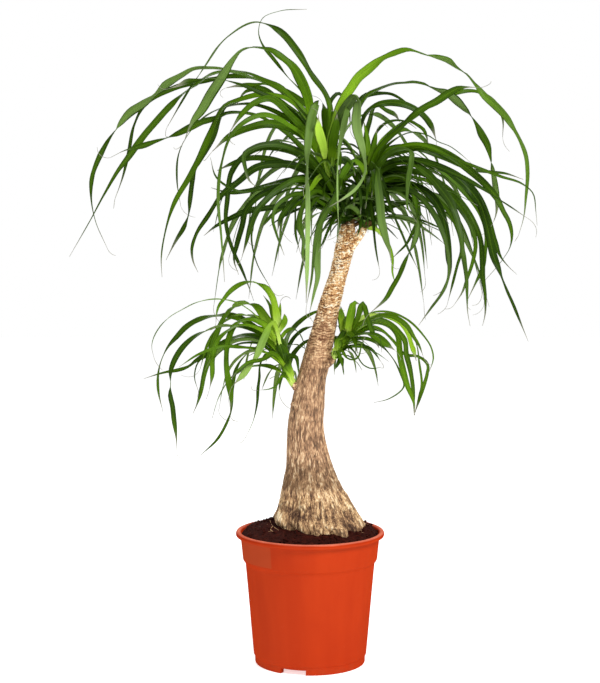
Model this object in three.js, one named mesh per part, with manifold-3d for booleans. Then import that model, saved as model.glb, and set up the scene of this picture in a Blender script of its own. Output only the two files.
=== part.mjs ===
// A ponytail palm in a nursery pot. Millimetres, z up, origin in the middle of the pot's underside.
// Front is -y. The leaf points marked "seen" are places in the plane y = 0 as they look from EYE.
import * as THREE from "three";
import { mergeVertices } from "three/addons/utils/BufferGeometryUtils.js";
import Module from "manifold-3d";

const wasm = await Module();
wasm.setup();

// Pot
const RIM_RADIUS = 110.5;
const POT_HEIGHT = 198;
const POT_SIDES = 34;
const FLOOR_TOP = 9;
const POT_PROFILE = [
  [0, 0], [27, 0], [28, 5], [73, 5], [74, 0], [82, 0], [82.4, 11], [84.3, 13.5],
  [96.4, 152], [100.3, 157.5], [103.6, 190.4], [RIM_RADIUS, 191.8], [RIM_RADIUS, 195.4],
  [107.6, POT_HEIGHT], [104.4, 197.6], [101.4, 191.5], [97.8, 158.2], [93.8, 152.4], [82, 17],
  [79, FLOOR_TOP], [0, FLOOR_TOP],
];
const NOTCHES = 3;
const NOTCH = { width: 37, height: 8, turn: -1.89 };
const DRAINS = { count: 6, radius: 4.5, ring: 50 };

// Soil
const GAP = 0.35;
const SOIL_SIDES = 30;
const SOIL_BUMP = 1.2;
const SOIL_TILT = 0.035;
const SOIL_WALL = [
  [78.2, FLOOR_TOP + GAP], [81.2, 17.3], [92.95, 152.6], [96.9, 158.5], [100.6, 191.6],
  [101.3, 193.4],
];
const SOIL_MOUND = [[96.5, 199], [86, 203.8], [74, 206.8], [60, 208.5], [0, 210]];

// Trunk: height, centre across, radius, and how deep the furrows of the foot are cut.
const TRUNK_SIDES = 22;
const BRANCH_SIDES = 6;
const TRUNK = [
  [150, 9, 38, 0.02], [172, 9.5, 53, 0.07], [190, 11, 61, 0.11], [204, 12.5, 65, 0.12],
  [216, 9, 64.6, 0.11], [228, 8.5, 58.7, 0.09], [246, 6, 51, 0.07], [270, 1, 42.5, 0.05],
  [290, -0.8, 36, 0.045], [320, -4.7, 30.3, 0.035], [350, -7, 27, 0.03], [388, -3.7, 24.3, 0.03],
  [423, 1.5, 21.6, 0.03], [447, 7.4, 21.1, 0.03], [470, 12.8, 19.8, 0.025],
  [500, 20.2, 17.7, 0.025], [530, 27.3, 16.2, 0.02], [560, 35.6, 14.6, 0.02],
  [585, 42.8, 13.6, 0.02], [604, 47.5, 13.9, 0.02], [620, 51, 14.4, 0.02],
  [634, 53.3, 13, 0.02], [646, 54.8, 11, 0.02], [657, 56.3, 8.5, 0.02], [664, 57, 4, 0.02],
];
const FURROWS = [[5, 1, 0.45], [8, 2.4, 0.35], [13, 0.6, 0.2]];
// Side growths of the bark: points down the middle, each with its radius.
const BRANCHES = [
  [[52, 0, 606, 6], [61, 0, 622, 7.5], [70, 0, 634, 6.8], [80, 0, 649, 5.6]],
  [[-2, -2, 405, 8], [-15, -3, 410, 8], [-22, -4, 415, 6.5], [-26, -4, 420, 4.2]],
  [[12, -4, 440, 7], [24, -7, 449, 8], [31, -8, 454, 6.5], [35, -8, 459, 4.2]],
  [[-12, -6, 386, 7], [-24, -9, 388, 5], [-29, -10, 388, 2.5]],
];

// The view that the seen points were read in.
const EYE = [-15, -2400, 680];

// Heads: the middle line of each leafy core, from its foot up, with the core's radius.
const CORE_SIDES = 9;
const HEADS = {
  main: [[56, 0, 648, 9], [53, 0, 658, 13], [49, 0, 670, 17], [41, 0, 692, 17], [32, 0, 722, 14],
    [25, 0, 748, 6]],
  right: [[78, 0, 645, 7], [79, 0, 654, 11], [80, 0, 666, 14.5], [82, 0, 684, 16], [85, 0, 708, 12],
    [88, 0, 730, 5]],
  left: [[-25, -4, 415, 5.5], [-29, -4, 426, 8], [-34, -4, 441, 10], [-39, -4, 457, 11.5],
    [-44, -4, 475, 10], [-48, -4, 492, 5]],
  low: [[34, -8, 455, 5.5], [37, -8, 462, 7.5], [42, -8, 473, 9.5], [46, -8, 485, 8.5],
    [50, -8, 497, 4]],
};
const NODES = { crown: ["main", "right"], left_shoot: ["left"], right_shoot: ["low"] };

// Seen leaves: head, how far up its core, depth of the tip behind the core (minus is nearer),
// full width, then x, z and the width that shows (minus shows the underside) down the leaf.
const SEEN = [
  ["main", 0.95, 20, 13, [24, 838, 4, 0, 873, 5, -20, 905, 10, -45, 933, 9, -75, 946, 5,
    -120, 925, -4, -155, 880, -4, -180, 843, 3, -209, 794, 2]],
  ["main", 0.9, -30, 7, [-12, 845, 2, -38, 873, 2, -49, 887, 5, -58, 898, 6.5, -69, 912, 2, -75, 930, 2,
    -70, 950, 2, -45, 961, 1.5, -5, 964, 1.5]],
  ["main", 1, -60, 15, [8, 795, 12, 1, 816, 13, -5, 841, 16, -16, 866, 17, -25, 881, 12.5, -35, 890, 9,
    -47, 899, 11.5, -58, 906, 8.5, -67, 908, 5, -86, 910, 2, -94, 908, -3, -102, 904, -5, -109, 896, -8,
    -128, 867, -15, -146, 840, -16, -159, 818, -14, -171, 803, -10, -180, 785, -3.5, -184, 774, 2]],
  ["main", 0.9, 40, 14, [-17, 826, 7, -40, 849, 8, -63, 860, 7, -88, 872, 3.5, -113, 877, 3, -145, 880,
    2, -172, 878, -5, -188, 869, -10.5, -211, 855, -15, -228, 840, -6, -246, 826, -13, -262, 816, -14,
    -276, 801, -9, -284, 791, -2, -301, 765, 5, -310, 747, 10, -318, 727, 8.5, -321, 690, 4, -316, 660,
    2.5, -298, 617, 1.5]],
  ["main", 0.85, 90, 12, [-30, 838, 7, -60, 856, 6, -90, 869, 4, -123, 875, 3, -145, 871, 5, -166, 856,
    6, -179, 848, 3, -193, 836, 6, -211, 818, 11, -229, 798, 12, -242, 783, 11, -254, 767, 11.5, -267,
    749, 10, -279, 734, 7, -301, 698, 4, -322, 660, 1.5, -354, 605, 1.2]],
  ["main", 0.8, -90, 11, [-30, 825, 7, -69, 842, 5, -106, 857, 2, -148, 865, 2, -164, 862, 6, -180, 860,
    11, -193, 854, 7, -205, 850, 1.5]],
  ["main", 0.85, 190, 12, [-20, 838, 8, -50, 853, 6, -68, 857, 4, -81, 855, 8, -94, 855, 9.5, -106, 854,
    8, -122, 851, 3]],
  ["main", 0.75, -90, 13, [-5, 785, 9, -30, 812, 11, -60, 836, 11, -85, 827, 9, -100, 813, 8,
    -117, 788, 3]],
  ["main", 0.8, 60, 12, [-8, 790, 8, -35, 822, 10, -80, 850, 9, -95, 845, 5, -108, 826, 3]],
  ["main", 0.85, -40, 14, [-10, 815, 8, -35, 836, 8, -65, 842, 7, -100, 835, 6, -125, 825, 10, -140,
    800, 9, -155, 765, 10, -175, 725, 8, -200, 682, 5, -212, 645, 4, -219, 600, 3, -218, 575, 1.5]],
  ["main", 0.75, 60, 15, [-20, 810, 8, -68, 842, 6, -108, 832, 7, -124, 825, 9, -132, 812, 11, -146,
    778, 16, -155, 761, 14, -162, 747, 10, -168, 734, 3.5, -172, 718, 8, -176, 690, 8, -179, 665, 2,
    -185, 649, 8.5, -196, 631, 7, -212, 600, 1.5]],
  ["main", 0.65, -20, 12, [-8, 760, 9, -46, 794, 6, -83, 813, 4.5, -104, 816, 3.5, -124, 814, 3.5, -139,
    807, 7, -157, 802, 10.5, -175, 794, 11.5, -193, 785, 9, -209, 779, 3, -225, 774, 6, -242, 768, 9.5,
    -256, 764, 7, -269, 761, 3, -292, 750, 1.5]],
  ["main", 0.9, 120, 12, [-40, 845, 9, -100, 868, 8, -150, 862, 6, -200, 850, 7, -245, 822, 6,
    -257, 797, 4, -266, 755, 6, -275, 720, 4, -286, 690, 2]],
  ["main", 0.7, 100, 9, [-30, 805, 7, -90, 828, 6, -150, 812, 4, -192, 757, 3, -195, 715, 3,
    -190, 680, 1.5]],
  ["main", 0.6, -70, 15, [-5, 778, 10, -30, 793, 13, -60, 799, 14, -90, 793, 12, -120, 780, 9,
    -143, 759, 3]],
  ["main", 0.5, -110, 12, [-8, 755, 9, -25, 763, 10, -50, 769, 10, -80, 765, 9, -97, 753, 8,
    -95, 735, 6, -88, 715, 5, -80, 708, 2]],
  ["main", 0.4, 70, 12, [-2, 727, 9, -25, 737, 10, -55, 747, 10, -90, 749, 9, -115, 741, 7,
    -136, 731, 3]],
  ["main", 0.45, -50, 14, [-8, 735, 9, -45, 741, 11, -80, 735, 11, -105, 715, 11, -130, 695, 9,
    -150, 665, 9, -168, 637, 4, -174, 615, 5, -172, 598, 4, -165, 582, 1.5]],
  ["main", 0.35, 100, 11, [-5, 720, 9, -35, 716, 10, -65, 708, 9, -95, 701, 8, -120, 699, 6,
    -145, 706, 2]],
  ["main", 0.35, -70, 13, [0, 722, 9, -60, 702, 10, -80, 690, 10, -95, 672, 11, -100, 650, 9,
    -108, 622, 8, -112, 600, 4, -105, 578, 1.5]],
  ["main", 0.3, -100, 12, [-20, 718, 9, -45, 705, 10, -65, 688, 10, -80, 670, 9, -88, 650, 8,
    -93, 630, 6, -101, 602, 1.5]],
  ["main", 0.15, 60, 10, [-8, 683, 8, -35, 680, 9, -55, 667, 7, -75, 643, 2]],
  ["main", 0.2, -60, 11, [-12, 698, 8, -35, 674, 10, -44, 660, 8, -48, 642, 2]],
  ["main", 0.3, -120, 9, [-30, 694, 7, -52, 675, 6, -55, 660, 5, -50, 640, 4, -38, 607, 1.5]],
  ["main", 0.2, 40, 11, [-5, 690, 8, -40, 680, 9, -98, 670, 10, -120, 660, 8, -140, 649, 5,
    -156, 636, 2]],
  ["main", 0.9, -150, 14, [22, 736, 8.5, 14, 756, 16.5, 7, 777, 16.5, 4, 799, 11, 8, 829, 8.5,
    5, 819, 14, 1, 805, 14, -2, 785, 13, -4, 766, 11.5, -5, 750, 5.5, -5, 735, 2, -5, 722, 5.5,
    -4, 699, 7.5, -4, 620, 7,
    -5, 570, 5.5, -6, 537, 2]],
  ["main", 0.75, -90, 15, [23, 739, 4, 22, 751, 7.5, 19, 766, 13, 15, 779, 15, 12, 793, 12,
    12, 811, 1]],
  ["main", 0.3, -80, 7, [-20, 715, 6, -60, 710, 4, -100, 700, 4, -120, 707, 4, -138, 722, 3,
    -146, 750, 1.5]],
  ["right", 0.7, -130, 13, [76, 736, 6.5, 67, 744, 7.5, 61, 745, 3.5, 54, 736, 10, 48, 726, 10.5,
    43, 716, 7.5, 42, 707, 4.5, 38, 696, 8.5, 32, 684, 9.5, 17, 658, 8, 9, 632, 7.5,
    5, 605, 5, 3, 580, 3.5, -5, 535, 1.5]],
  ["main", 0.95, -150, 15, [34, 774, 10, 37, 791, 14, 44, 809, 15, 54, 825, 16.5, 66, 839, 7.5,
    68, 828, 12.5, 67, 803, 15, 69, 787, 14.5, 75, 768, 11, 80, 745, 5.5, 81, 734, 4, 77, 720, 4.5,
    69, 707, 5, 48, 690, 4.5, 28, 678, 1.5]],
  ["main", 0.85, 20, 13, [28, 744, 10, 26, 766, 11.5, 23, 796, 12.5, 21, 818, 11.5, 18, 829, 2.5]],
  ["main", 0.9, -60, 14, [31, 744, 14, 32, 759, 15, 34, 779, 16, 38, 800, 11.5, 39, 813, 2]],
  ["main", 0.9, 90, 10, [30, 800, 6, 31, 834, 6, 41, 843, 5, 50, 836, 5, 57, 815, 4, 58, 790, 2]],
  ["main", 0.75, -70, 10, [28, 727, 9, 14, 722, 9, 2, 706, 7, -8, 690, 5, -14, 668, 2]],
  ["main", 0.7, -160, 9, [-20, 790, 8, -70, 812, 8, -110, 790, 6, -130, 740, 5, -135, 688, 5,
    -131, 640, 4, -128, 600, 3, -126, 568, 1.5]],
  ["main", 0.5, 30, 11, [-30, 760, 9, -80, 762, 9, -112, 735, 8, -122, 684, 8, -124, 662, 5,
    -120, 634, 5, -112, 611, 6, -100, 585, 5, -92, 565, 3, -83, 540, 1.5]],
  ["main", 0.25, -120, 12, [6, 700, 9, -12, 676, 9, -16, 650, 11, -10, 630, 6, -11, 605, 5,
    -7, 586, 1.5]],
  ["main", 0.2, -60, 8, [0, 698, 7, -20, 682, 5, -22, 660, 4, -21, 636, 4, -15, 612, 1.5]],
  ["main", 0.2, -80, 14, [30, 684, 8, 17, 662, 9, 11, 630, 12, 10, 600, 12, 11, 575, 8,
    6, 553, 5, -1, 522, 1.5]],
  ["main", 0.1, -50, 9, [40, 668, 7, 29, 651, 4, 18, 620, 1.5]],
  ["main", 0.2, -100, 5, [-20, 705, 4, -60, 690, 4, -86, 640, 3, -80, 600, 2, -56, 555, 1.2]],
  ["main", 1, -30, 15, [33, 800, 7, 39, 821, 7, 47, 835, 10, 56, 846, 15, 72, 868, 15.5, 82, 876, 15.5,
    92, 884, 13.5, 100, 890, 10.5, 108, 895, 8, 120, 900, 10.5, 135, 905, 9, 142, 906, 6, 151, 905, 2.5,
    167, 900, 2.5, 184, 896, -8, 202, 890, -10.5, 213, 881, -4.5, 227, 872, 2.5, 241, 855, 4.5, 253,
    840, 10.5, 270, 825, 12.5, 287, 807, 10.5, 298, 790, 4.5, 306, 776, 4, 315, 754, 6.5, 318, 729, 6.5,
    316, 692, 4.5, 313, 662, 2.5, 306, 637, 1.5]],
  ["right", 0.9, 60, 13, [72, 825, 9, 86, 843, 8, 96, 848, 6, 110, 854, 4, 124, 858, 3.5, 138, 859, 3,
    151, 860, 4, 166, 857, 3.5, 183, 849, -5, 200, 843, -12, 214, 832, -14, 226, 820, -9, 233, 813, -2,
    241, 801, 5, 250, 784, 12.5, 259, 768, 11, 264, 748, 3.5, 267, 732, -7, 271, 709, -10, 274, 684,
    -8.5, 272, 665, -4, 265, 648, 1.5]],
  ["right", 0.6, -60, 13, [100, 762, 8, 120, 783, 8, 138, 800, 7, 150, 812, 8, 165, 822, 10,
    185, 832, 12, 200, 842, 12, 215, 850, 9, 228, 852, 4, 245, 851, 1.5]],
  ["right", 0.8, 30, 14, [74, 795, 8, 82, 815, 8, 94, 825, 9, 110, 829, 11, 128, 829, 12,
    145, 824, 11, 158, 817, 10, 168, 808, 10, 177, 795, 10, 184, 775, 2]],
  ["right", 0.8, 120, 11, [86, 800, 8, 97, 826, 6, 112, 818, 8, 124, 812, 9, 131, 801, 2]],
  ["right", 0.9, 90, 11, [70, 805, 8, 72, 834, 8, 84, 841, 9, 100, 843, 8, 118, 842, 6, 132, 835, 4,
    152, 820, 2]],
  ["right", 0.6, -40, 6, [110, 765, 5, 150, 787, 4, 172, 782, 3, 187, 773, 2, 203, 767, 1.5,
    220, 755, 1.2, 235, 742, 1.2]],
  ["right", 0.7, 160, 10, [110, 780, 8, 150, 808, 8, 200, 840, 8, 245, 845, 7, 270, 830, 6,
    281, 805, 5, 281, 780, 2]],
  ["right", 0.6, 40, 12, [110, 760, 9, 160, 763, 9, 200, 746, 8, 225, 735, 6, 245, 731, 6,
    265, 729, 5, 285, 727, 4, 312, 718, 2]],
  ["right", 0.6, -60, 8, [110, 757, 7, 150, 770, 7, 220, 745, 6, 280, 722, 4, 310, 712, 2,
    325, 700, 2, 331, 670, 1.5, 333, 651, 1.2]],
  ["right", 0.5, -90, 11, [100, 735, 8, 130, 748, 9, 190, 735, 9, 235, 715, 7, 260, 700, 5,
    277, 689, 2, 321, 660, 1.2]],
  ["right", 0.6, -50, 15, [95, 745, 9, 140, 762, 11, 165, 766, 11, 191, 759, 11, 216, 745, 12,
    240, 726, 13, 262, 705, 12, 274, 690, 8, 283, 672, 4, 292, 655, 2, 296, 635, 3, 293, 617, 2,
    284, 602, 2, 258, 571, 1.2]],
  ["right", 0.5, -80, 16, [100, 735, 9, 150, 745, 10, 195, 735, 11, 225, 712, 12, 248, 683, 14,
    258, 656, 12, 264, 630, 12, 270, 605, 12, 277, 588, 7, 282, 575, 3, 290, 555, 6, 299, 535, 5,
    309, 511, 4, 322, 480, 1.2]],
  ["right", 0.45, -30, 12, [110, 730, 9, 160, 728, 10, 200, 705, 10, 232, 670, 8, 250, 630, 8,
    253, 600, 9, 254, 575, 8, 258, 545, 5, 257, 515, 3, 254, 503, 1.2]],
  ["right", 0.55, 20, 11, [120, 745, 9, 180, 738, 9, 225, 700, 8, 248, 668, 6, 258, 635, 5,
    257, 610, 6, 254, 590, 7, 246, 572, 5, 231, 540, 2]],
  ["right", 0.45, -120, 14, [100, 730, 9, 125, 742, 9, 150, 741, 9, 170, 728, 12, 190, 705, 13,
    205, 685, 12, 213, 668, 9, 221, 638, 8, 224, 615, 6, 227, 595, 8, 230, 573, 6, 231, 550, 4,
    232, 525, 2, 236, 503, 1.2]],
  ["right", 0.4, -60, 13, [110, 720, 9, 160, 720, 10, 200, 700, 11, 222, 675, 12, 236, 650, 9,
    243, 625, 7, 239, 598, 6, 231, 573, 5, 224, 553, 4, 212, 534, 1.2]],
  ["right", 0.35, -40, 14, [105, 705, 9, 140, 710, 10, 170, 700, 11, 190, 675, 13, 198, 650, 11,
    202, 625, 11, 204, 600, 10, 206, 583, 6, 204, 570, 1.5]],
  ["right", 0.4, 80, 10, [115, 715, 8, 165, 705, 8, 200, 675, 7, 218, 640, 5, 222, 612, 5,
    217, 595, 5, 212, 575, 5, 202, 535, 1.2]],
  ["right", 0.3, -150, 11, [110, 700, 9, 150, 700, 9, 180, 670, 8, 198, 630, 6, 204, 595, 4,
    202, 570, 3, 192, 548, 5, 180, 532, 5, 160, 504, 1.2]],
  ["right", 0.5, 100, 14, [110, 738, 9, 170, 742, 11, 215, 725, 11, 245, 695, 11, 262, 660, 10,
    272, 625, 10, 280, 605, 4, 292, 590, 2.5, 304, 579, 1.2]],
  ["right", 0.3, -90, 12, [105, 715, 9, 135, 722, 8, 148, 708, 5, 153, 688, 9, 157, 665, 4,
    157, 642, -9, 151, 622, -6, 140, 600, 3, 131, 578, 8, 121, 560, 8, 112, 544, 7, 101, 533, 5,
    88, 522, 1.5]],
  ["right", 0.25, -60, 8, [86, 690, 8, 92, 660, 6, 94, 636, 4, 97, 612, 3, 102, 586, 1.2]],
  ["right", 0.6, -130, 15, [93, 738, 9, 98, 715, 12, 102, 685, 14, 105, 655, 13, 111, 632, 10,
    117, 612, 5, 119, 598, 2]],
  ["right", 0.5, -100, 11, [98, 728, 9, 110, 700, 10, 119, 675, 8, 127, 656, 3, 135, 638, 3,
    145, 614, 3, 159, 586, 1.2]],
  ["right", 0.6, -140, 11, [100, 740, 9, 130, 762, 8, 147, 760, 4, 147, 740, 9, 144, 722, 9,
    142, 700, 5, 143, 676, 3, 157, 655, 1.5]],
  ["right", 0.2, 50, 10, [100, 705, 8, 130, 708, 8, 155, 690, 7, 160, 668, 6, 150, 640, 6,
    140, 622, 4, 130, 612, 3, 118, 600, 1.5]],
  ["right", 0.7, 120, 9, [90, 765, 8, 98, 788, 6, 110, 800, 4, 125, 804, 4, 140, 802, 3,
    155, 792, 2]],
  ["right", 0.7, -30, 10, [100, 762, 8, 125, 790, 6, 145, 803, 4, 155, 798, 5, 165, 791, 6,
    173, 768, 2]],
  ["right", 1, -10, 11, [88, 745, 9, 93, 765, 9, 97, 790, 3]],
  ["right", 1, 15, 11, [84, 750, 8, 84, 775, 8, 78, 802, 2]],
  ["right", 0.1, -30, 12, [89, 648, 10, 99, 644, 9, 112, 628, 7, 121, 604, 5, 121, 582, 3,
    125, 566, 1.2]],
  ["left", 1, -20, 12, [-45, 501, 12, -49, 514, 14, -51, 527, 11, -58, 550, 10, -65, 559, 9,
    -74, 564, 2, -81, 568, -4, -99, 566, 6, -120, 552, 7.5, -127, 543, 6, -135, 532, 4.5,
    -138, 521, 3, -139, 507, 1]],
  ["left", 0.9, 30, 15, [-61, 507, 15, -69, 519, 14, -77, 530, 11.5, -95, 538, -5.5,
    -108, 535, -8.5, -119, 526, 12, -128, 514, 12.5, -140, 487, 11.5, -151, 451, 8, -157, 430, 8,
    -162, 404, 7, -169, 383, 3.5, -174, 372, 1.5]],
  ["left", 0.8, -60, 11, [-76, 500, 5, -94, 505, 4, -108, 504, 3, -122, 496, 3, -135, 484, 4,
    -144, 455, 8.5, -145, 428, 7, -149, 409, 1.5]],
  ["left", 0.7, 60, 13, [-74, 496, 6, -90, 507, 7, -103, 514, 8, -115, 518, 6.5, -136, 519, 2.5,
    -170, 510, 7, -185, 500, 9.5, -197, 487, 8.5, -208, 475, 6, -217, 460, 3, -225, 428, 5,
    -225, 410, 4.5, -218, 375, 1.5]],
  ["left", 0.9, -50, 7, [-72, 510, 4.5, -90, 528, 3, -108, 538, 2.5, -144, 543, 3, -165, 539, 3,
    -188, 528, 2.5, -208, 516, 1.5, -221, 503, 1.5, -234, 471, 1, -231, 457, 1]],
  ["left", 0.6, -20, 13, [-74, 493, 7, -90, 500, 7, -108, 503, 6, -126, 504, 4, -162, 493, 5,
    -180, 480, 5.5, -201, 451, 7, -206, 437, 6, -207, 417, 2, -207, 399, 9, -204, 385, 10,
    -202, 366, 9, -198, 330, 3, -198, 316, 1.5]],
  ["left", 0.5, 70, 14, [-72, 485, 5, -87, 489, 5, -104, 489, 5, -115, 485, 4, -126, 478, 11,
    -137, 471, 13.5, -147, 464, 11.5, -160, 457, 8.5, -171, 450, 3.5, -178, 444, 1.5,
    -198, 437, 5.5, -212, 435, 3.5, -246, 425, 1]],
  ["left", 0.4, -90, 9, [-79, 469, 3, -94, 471, 2.5, -108, 472, 4.5, -122, 473, 3, -151, 467, 5,
    -165, 461, 4, -194, 442, 1.5]],
  ["left", 0.4, 60, 6, [-79, 478, 3, -99, 478, 2, -126, 469, 2, -151, 460, 2, -164, 451, 2,
    -171, 428, 2, -165, 405, 1]],
  ["left", 0.7, -50, 12, [-74, 509, 9, -90, 513, 6.5, -103, 510, 6, -112, 503, 10.5, -118, 491, 10,
    -124, 455, 8, -123, 435, 9, -120, 417, 11.5, -117, 397, 7.5, -119, 372, 1]],
  ["left", 0.7, -80, 10, [-56, 507, 9, -68, 485, 12.5, -74, 471, 12.5, -79, 459, 9, -84, 451, 4,
    -90, 443, 9, -99, 431, 10.5, -114, 415, 1.5]],
  ["left", 0.4, -95, 10, [-58, 462, 5, -67, 455, 5, -76, 452, 6.5, -90, 449, 6.5, -103, 440, 5,
    -117, 425, 1]],
  ["left", 0.35, -60, 9, [-65, 460, 4, -72, 452, 4, -75, 442, 5, -75, 428, 7, -77, 410, 6,
    -78, 392, 3, -85, 361, 1, -96, 337, 1]],
  ["left", 0.5, 40, 9, [-67, 478, 6, -83, 471, 5, -99, 457, 4, -110, 437, 4, -115, 413, 4,
    -118, 374, 2.5, -125, 356, 5, -135, 338, 5, -168, 306, 1]],
  ["left", 0.9, 60, 8, [-52, 505, 5, -57, 522, 5, -60, 535, 5, -69, 548, 1.5]],
  ["left", 1, -10, 10, [-43, 500, 8, -37, 513, 9, -38, 521, 2]],
  ["left", 0.6, 120, 11, [-32, 490, 7, -17, 508, 8, -2, 519, 6, 14, 525, 4, 32, 521, 2]],
  ["left", 0.4, 95, 9, [-31, 474, 6, -20, 490, 6, -8, 499, 6, 6, 503, 2]],
  ["left", 0.3, 75, 9, [-27, 458, 6, -16, 472, 7, -4, 481, 5, 8, 484, 2]],
  ["left", 0.4, -45, 8, [-30, 458, 7, -21, 457, 7, -18, 444, 4, -17, 430, 1.2]],
  ["left", 0.1, -20, 7, [-40, 432, 6, -44, 420, 4, -46, 406, 1.5]],
  ["left", 0.1, -45, 5, [-42, 428, 4, -52, 413, 2, -62, 409, 2, -73, 408, 1.2]],
  ["left", 1, 5, 10, [-49, 505, 9, -45, 522, 6, -44, 538, 1.5]],
  ["low", 1, -30, 14, [53, 490, 11, 58, 499, 13, 77, 513, 13.5, 87, 517, 10.5, 96, 519, 7,
    120, 514, 5.5, 132, 507, 5.5, 146, 488, 7, 149, 477, 7, 153, 466, 8.5, 157, 451, 1]],
  ["low", 0.9, -60, 13, [64, 500, 9.5, 75, 507, 6.5, 87, 512, 5.5, 109, 519, 5.5, 120, 518, 6.5,
    132, 512, 6, 142, 504, 5.5, 154, 485, 4, 161, 474, 4.5, 167, 458, 1]],
  ["low", 0.8, -20, 13, [58, 491, 8, 70, 500, 5.5, 84, 507, 4.5, 98, 508, 4, 120, 500, 4.5,
    128, 490, 4, 132, 468, 6.5, 133, 457, 9, 136, 443, 10.5, 144, 414, 9, 154, 387, 4.5,
    155, 370, 1.5]],
  ["low", 0.7, 40, 13, [64, 495, 6.5, 81, 504, 4.5, 98, 511, 4, 112, 508, 4, 133, 492, 5.5,
    139, 483, 8, 142, 460, 6.5, 146, 446, 7, 152, 412, 7, 154, 369, 1.5]],
  ["low", 0.8, 60, 11, [70, 502, 6.5, 84, 514, 5, 105, 521, 4, 126, 515, 3, 147, 494, 3,
    156, 480, 2.5, 161, 449, 3, 165, 412, 4.5, 163, 399, 6.5, 155, 373, 2.5]],
  ["low", 0.6, -90, 9, [56, 483, 6.5, 64, 488, 4, 75, 491, 3, 89, 491, 2.5, 102, 487, 1.5,
    106, 464, 1]],
  ["low", 1, -10, 8, [64, 508, 4.5, 81, 519, 4, 95, 524, 3.5, 123, 522, 3, 139, 515, 2.5,
    168, 488, 2.5, 178, 473, 2.5, 182, 457, 2.5, 175, 432, 1]],
  ["low", 0.5, 90, 11, [64, 488, 6.5, 84, 500, 4.5, 105, 497, 4, 121, 483, 3.5, 142, 460, 4,
    159, 458, 3.5, 174, 444, 4.5, 173, 432, 5.5, 164, 403, 7.5, 154, 370, 1.5]],
  ["low", 1, 40, 11, [50, 490, 6.5, 51, 502, 8, 48, 517, 7.5, 46, 525, 6.5, 45, 532, 1.5]],
  ["low", 1, -20, 13, [53, 491, 9.5, 57, 505, 12.5, 60, 519, 14, 62, 529, 12.5, 64, 536, 9.5,
    70, 538, 4.5, 72, 536, 1.5]],
  ["low", 0.9, -50, 11, [61, 500, 6.5, 70, 515, 7, 74, 529, 8, 77, 536, 8, 80, 531, 9,
    84, 517, 8.5, 93, 491, 8, 97, 480, 7, 102, 470, 1.5]],
  ["low", 0.5, -70, 14, [53, 480, 6.5, 64, 488, 4, 78, 492, 3.5, 88, 492, 6.5, 96, 488, 13,
    106, 481, 14, 116, 474, 9, 125, 467, 1.5]],
  ["low", 0.3, -40, 9, [53, 471, 4, 60, 474, 3.5, 70, 476, 4, 81, 474, 4.5, 91, 468, 5.5,
    104, 451, 1.5]],
  ["low", 0.6, -35, 9, [60, 490, 6.5, 66, 495, 7, 68, 487, 7, 67, 477, 5.5, 70, 462, 1]],
  ["low", 0.2, -90, 5, [47, 466, 3, 54, 456, 2.5, 63, 453, 2.5, 70, 456, 2.5, 77, 478, 2,
    81, 487, 1.5]],
  ["low", 0.3, -60, 5, [56, 473, 2.5, 64, 466, 2, 71, 456, 2, 78, 446, 2, 90, 440, 2, 105, 442, 1]],
  ["low", 0.4, 110, 8, [56, 480, 5.5, 78, 485, 4.5, 101, 477, 4, 121, 457, 4, 133, 434, 3,
    139, 414, 2.5, 117, 395, 1.5, 94, 389, 1]],
  ["low", 0.1, -30, 8, [44, 455, 6, 41, 447, 6, 37, 439, 2]],
  ["low", 0.1, -10, 7, [47, 455, 5, 48, 444, 4, 50, 430, 1.5]],
  ["low", 1, 45, 8, [48, 500, 6, 44, 508, 6, 41, 517, 2]],
  ["main", 0.8, -110, 9, [36, 779, 8.5, 45, 806, 7.5, 55, 827, 6.5, 49, 796, 10, 43, 766, 5,
    41, 745, 2, 40, 692, 2.5, 42, 643, 1]],
];
// Further leaves, mostly behind and in front: head, number, compass from and to in degrees
// (90 is the back), length and first slope ranges, and the slope of the tips.
const FILL = [
  ["main", 7, 86, 156, [310, 430], [42, 74], -72],
  ["main", 4, 36, 64, [310, 430], [42, 74], -72],
  ["main", 3, -150, -60, [140, 190], [56, 78], -40],
  ["right", 6, 22, 76, [300, 420], [40, 72], -74],
  ["right", 4, 110, 146, [300, 420], [40, 72], -74],
  ["right", 3, -130, -40, [130, 180], [54, 76], -44],
  ["left", 6, 98, 194, [140, 210], [40, 70], -74],
  ["low", 5, 34, 136, [120, 180], [42, 70], -72],
  ["low", 2, -112, -28, [64, 90], [44, 64], -50],
];
const FILL_WIDTH = [10, 14];
const FILL_STEPS = 5;
const FILL_CURL = 26;
const FILL_TWIST = 55;
const GOLDEN = 0.618034;
const SEED = 74074;

// Leaf section: flat above with a keel below, and how the width falls off to the tip.
const TIP_WIDTH = 1.2;
// Blades look wider than they are in a soft picture, so every width is cut down a little.
const SLIM = 0.9;
const KEEL = 0.9;
const KEEL_BY_WIDTH = 0.055;
const TAPER = 2.6;
const ROOT_SHARE = 0.4;
const TIP_SHARE = 0.07;
// Leaves of a shoot keep this clear of other nodes, by moving their tips or turning.
const CLEAR = 1.2;
const ROOT_FREE = 34;
const TRY_DEPTH = 11;
const TRY_TURN = 6;
const TRIES = 25;

const add = (a, b) => [a[0] + b[0], a[1] + b[1], a[2] + b[2]];
const sub = (a, b) => [a[0] - b[0], a[1] - b[1], a[2] - b[2]];
const mul = (a, k) => [a[0] * k, a[1] * k, a[2] * k];
const dot = (a, b) => a[0] * b[0] + a[1] * b[1] + a[2] * b[2];
const cross = (a, b) => [
  a[1] * b[2] - a[2] * b[1], a[2] * b[0] - a[0] * b[2], a[0] * b[1] - a[1] * b[0],
];
const length = (a) => Math.sqrt(dot(a, a));
const unit = (a) => mul(a, 1 / length(a));
const mix = (a, b, t) => a.map((v, i) => v + (b[i] - v) * t);
const radians = (d) => (d * Math.PI) / 180;

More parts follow.
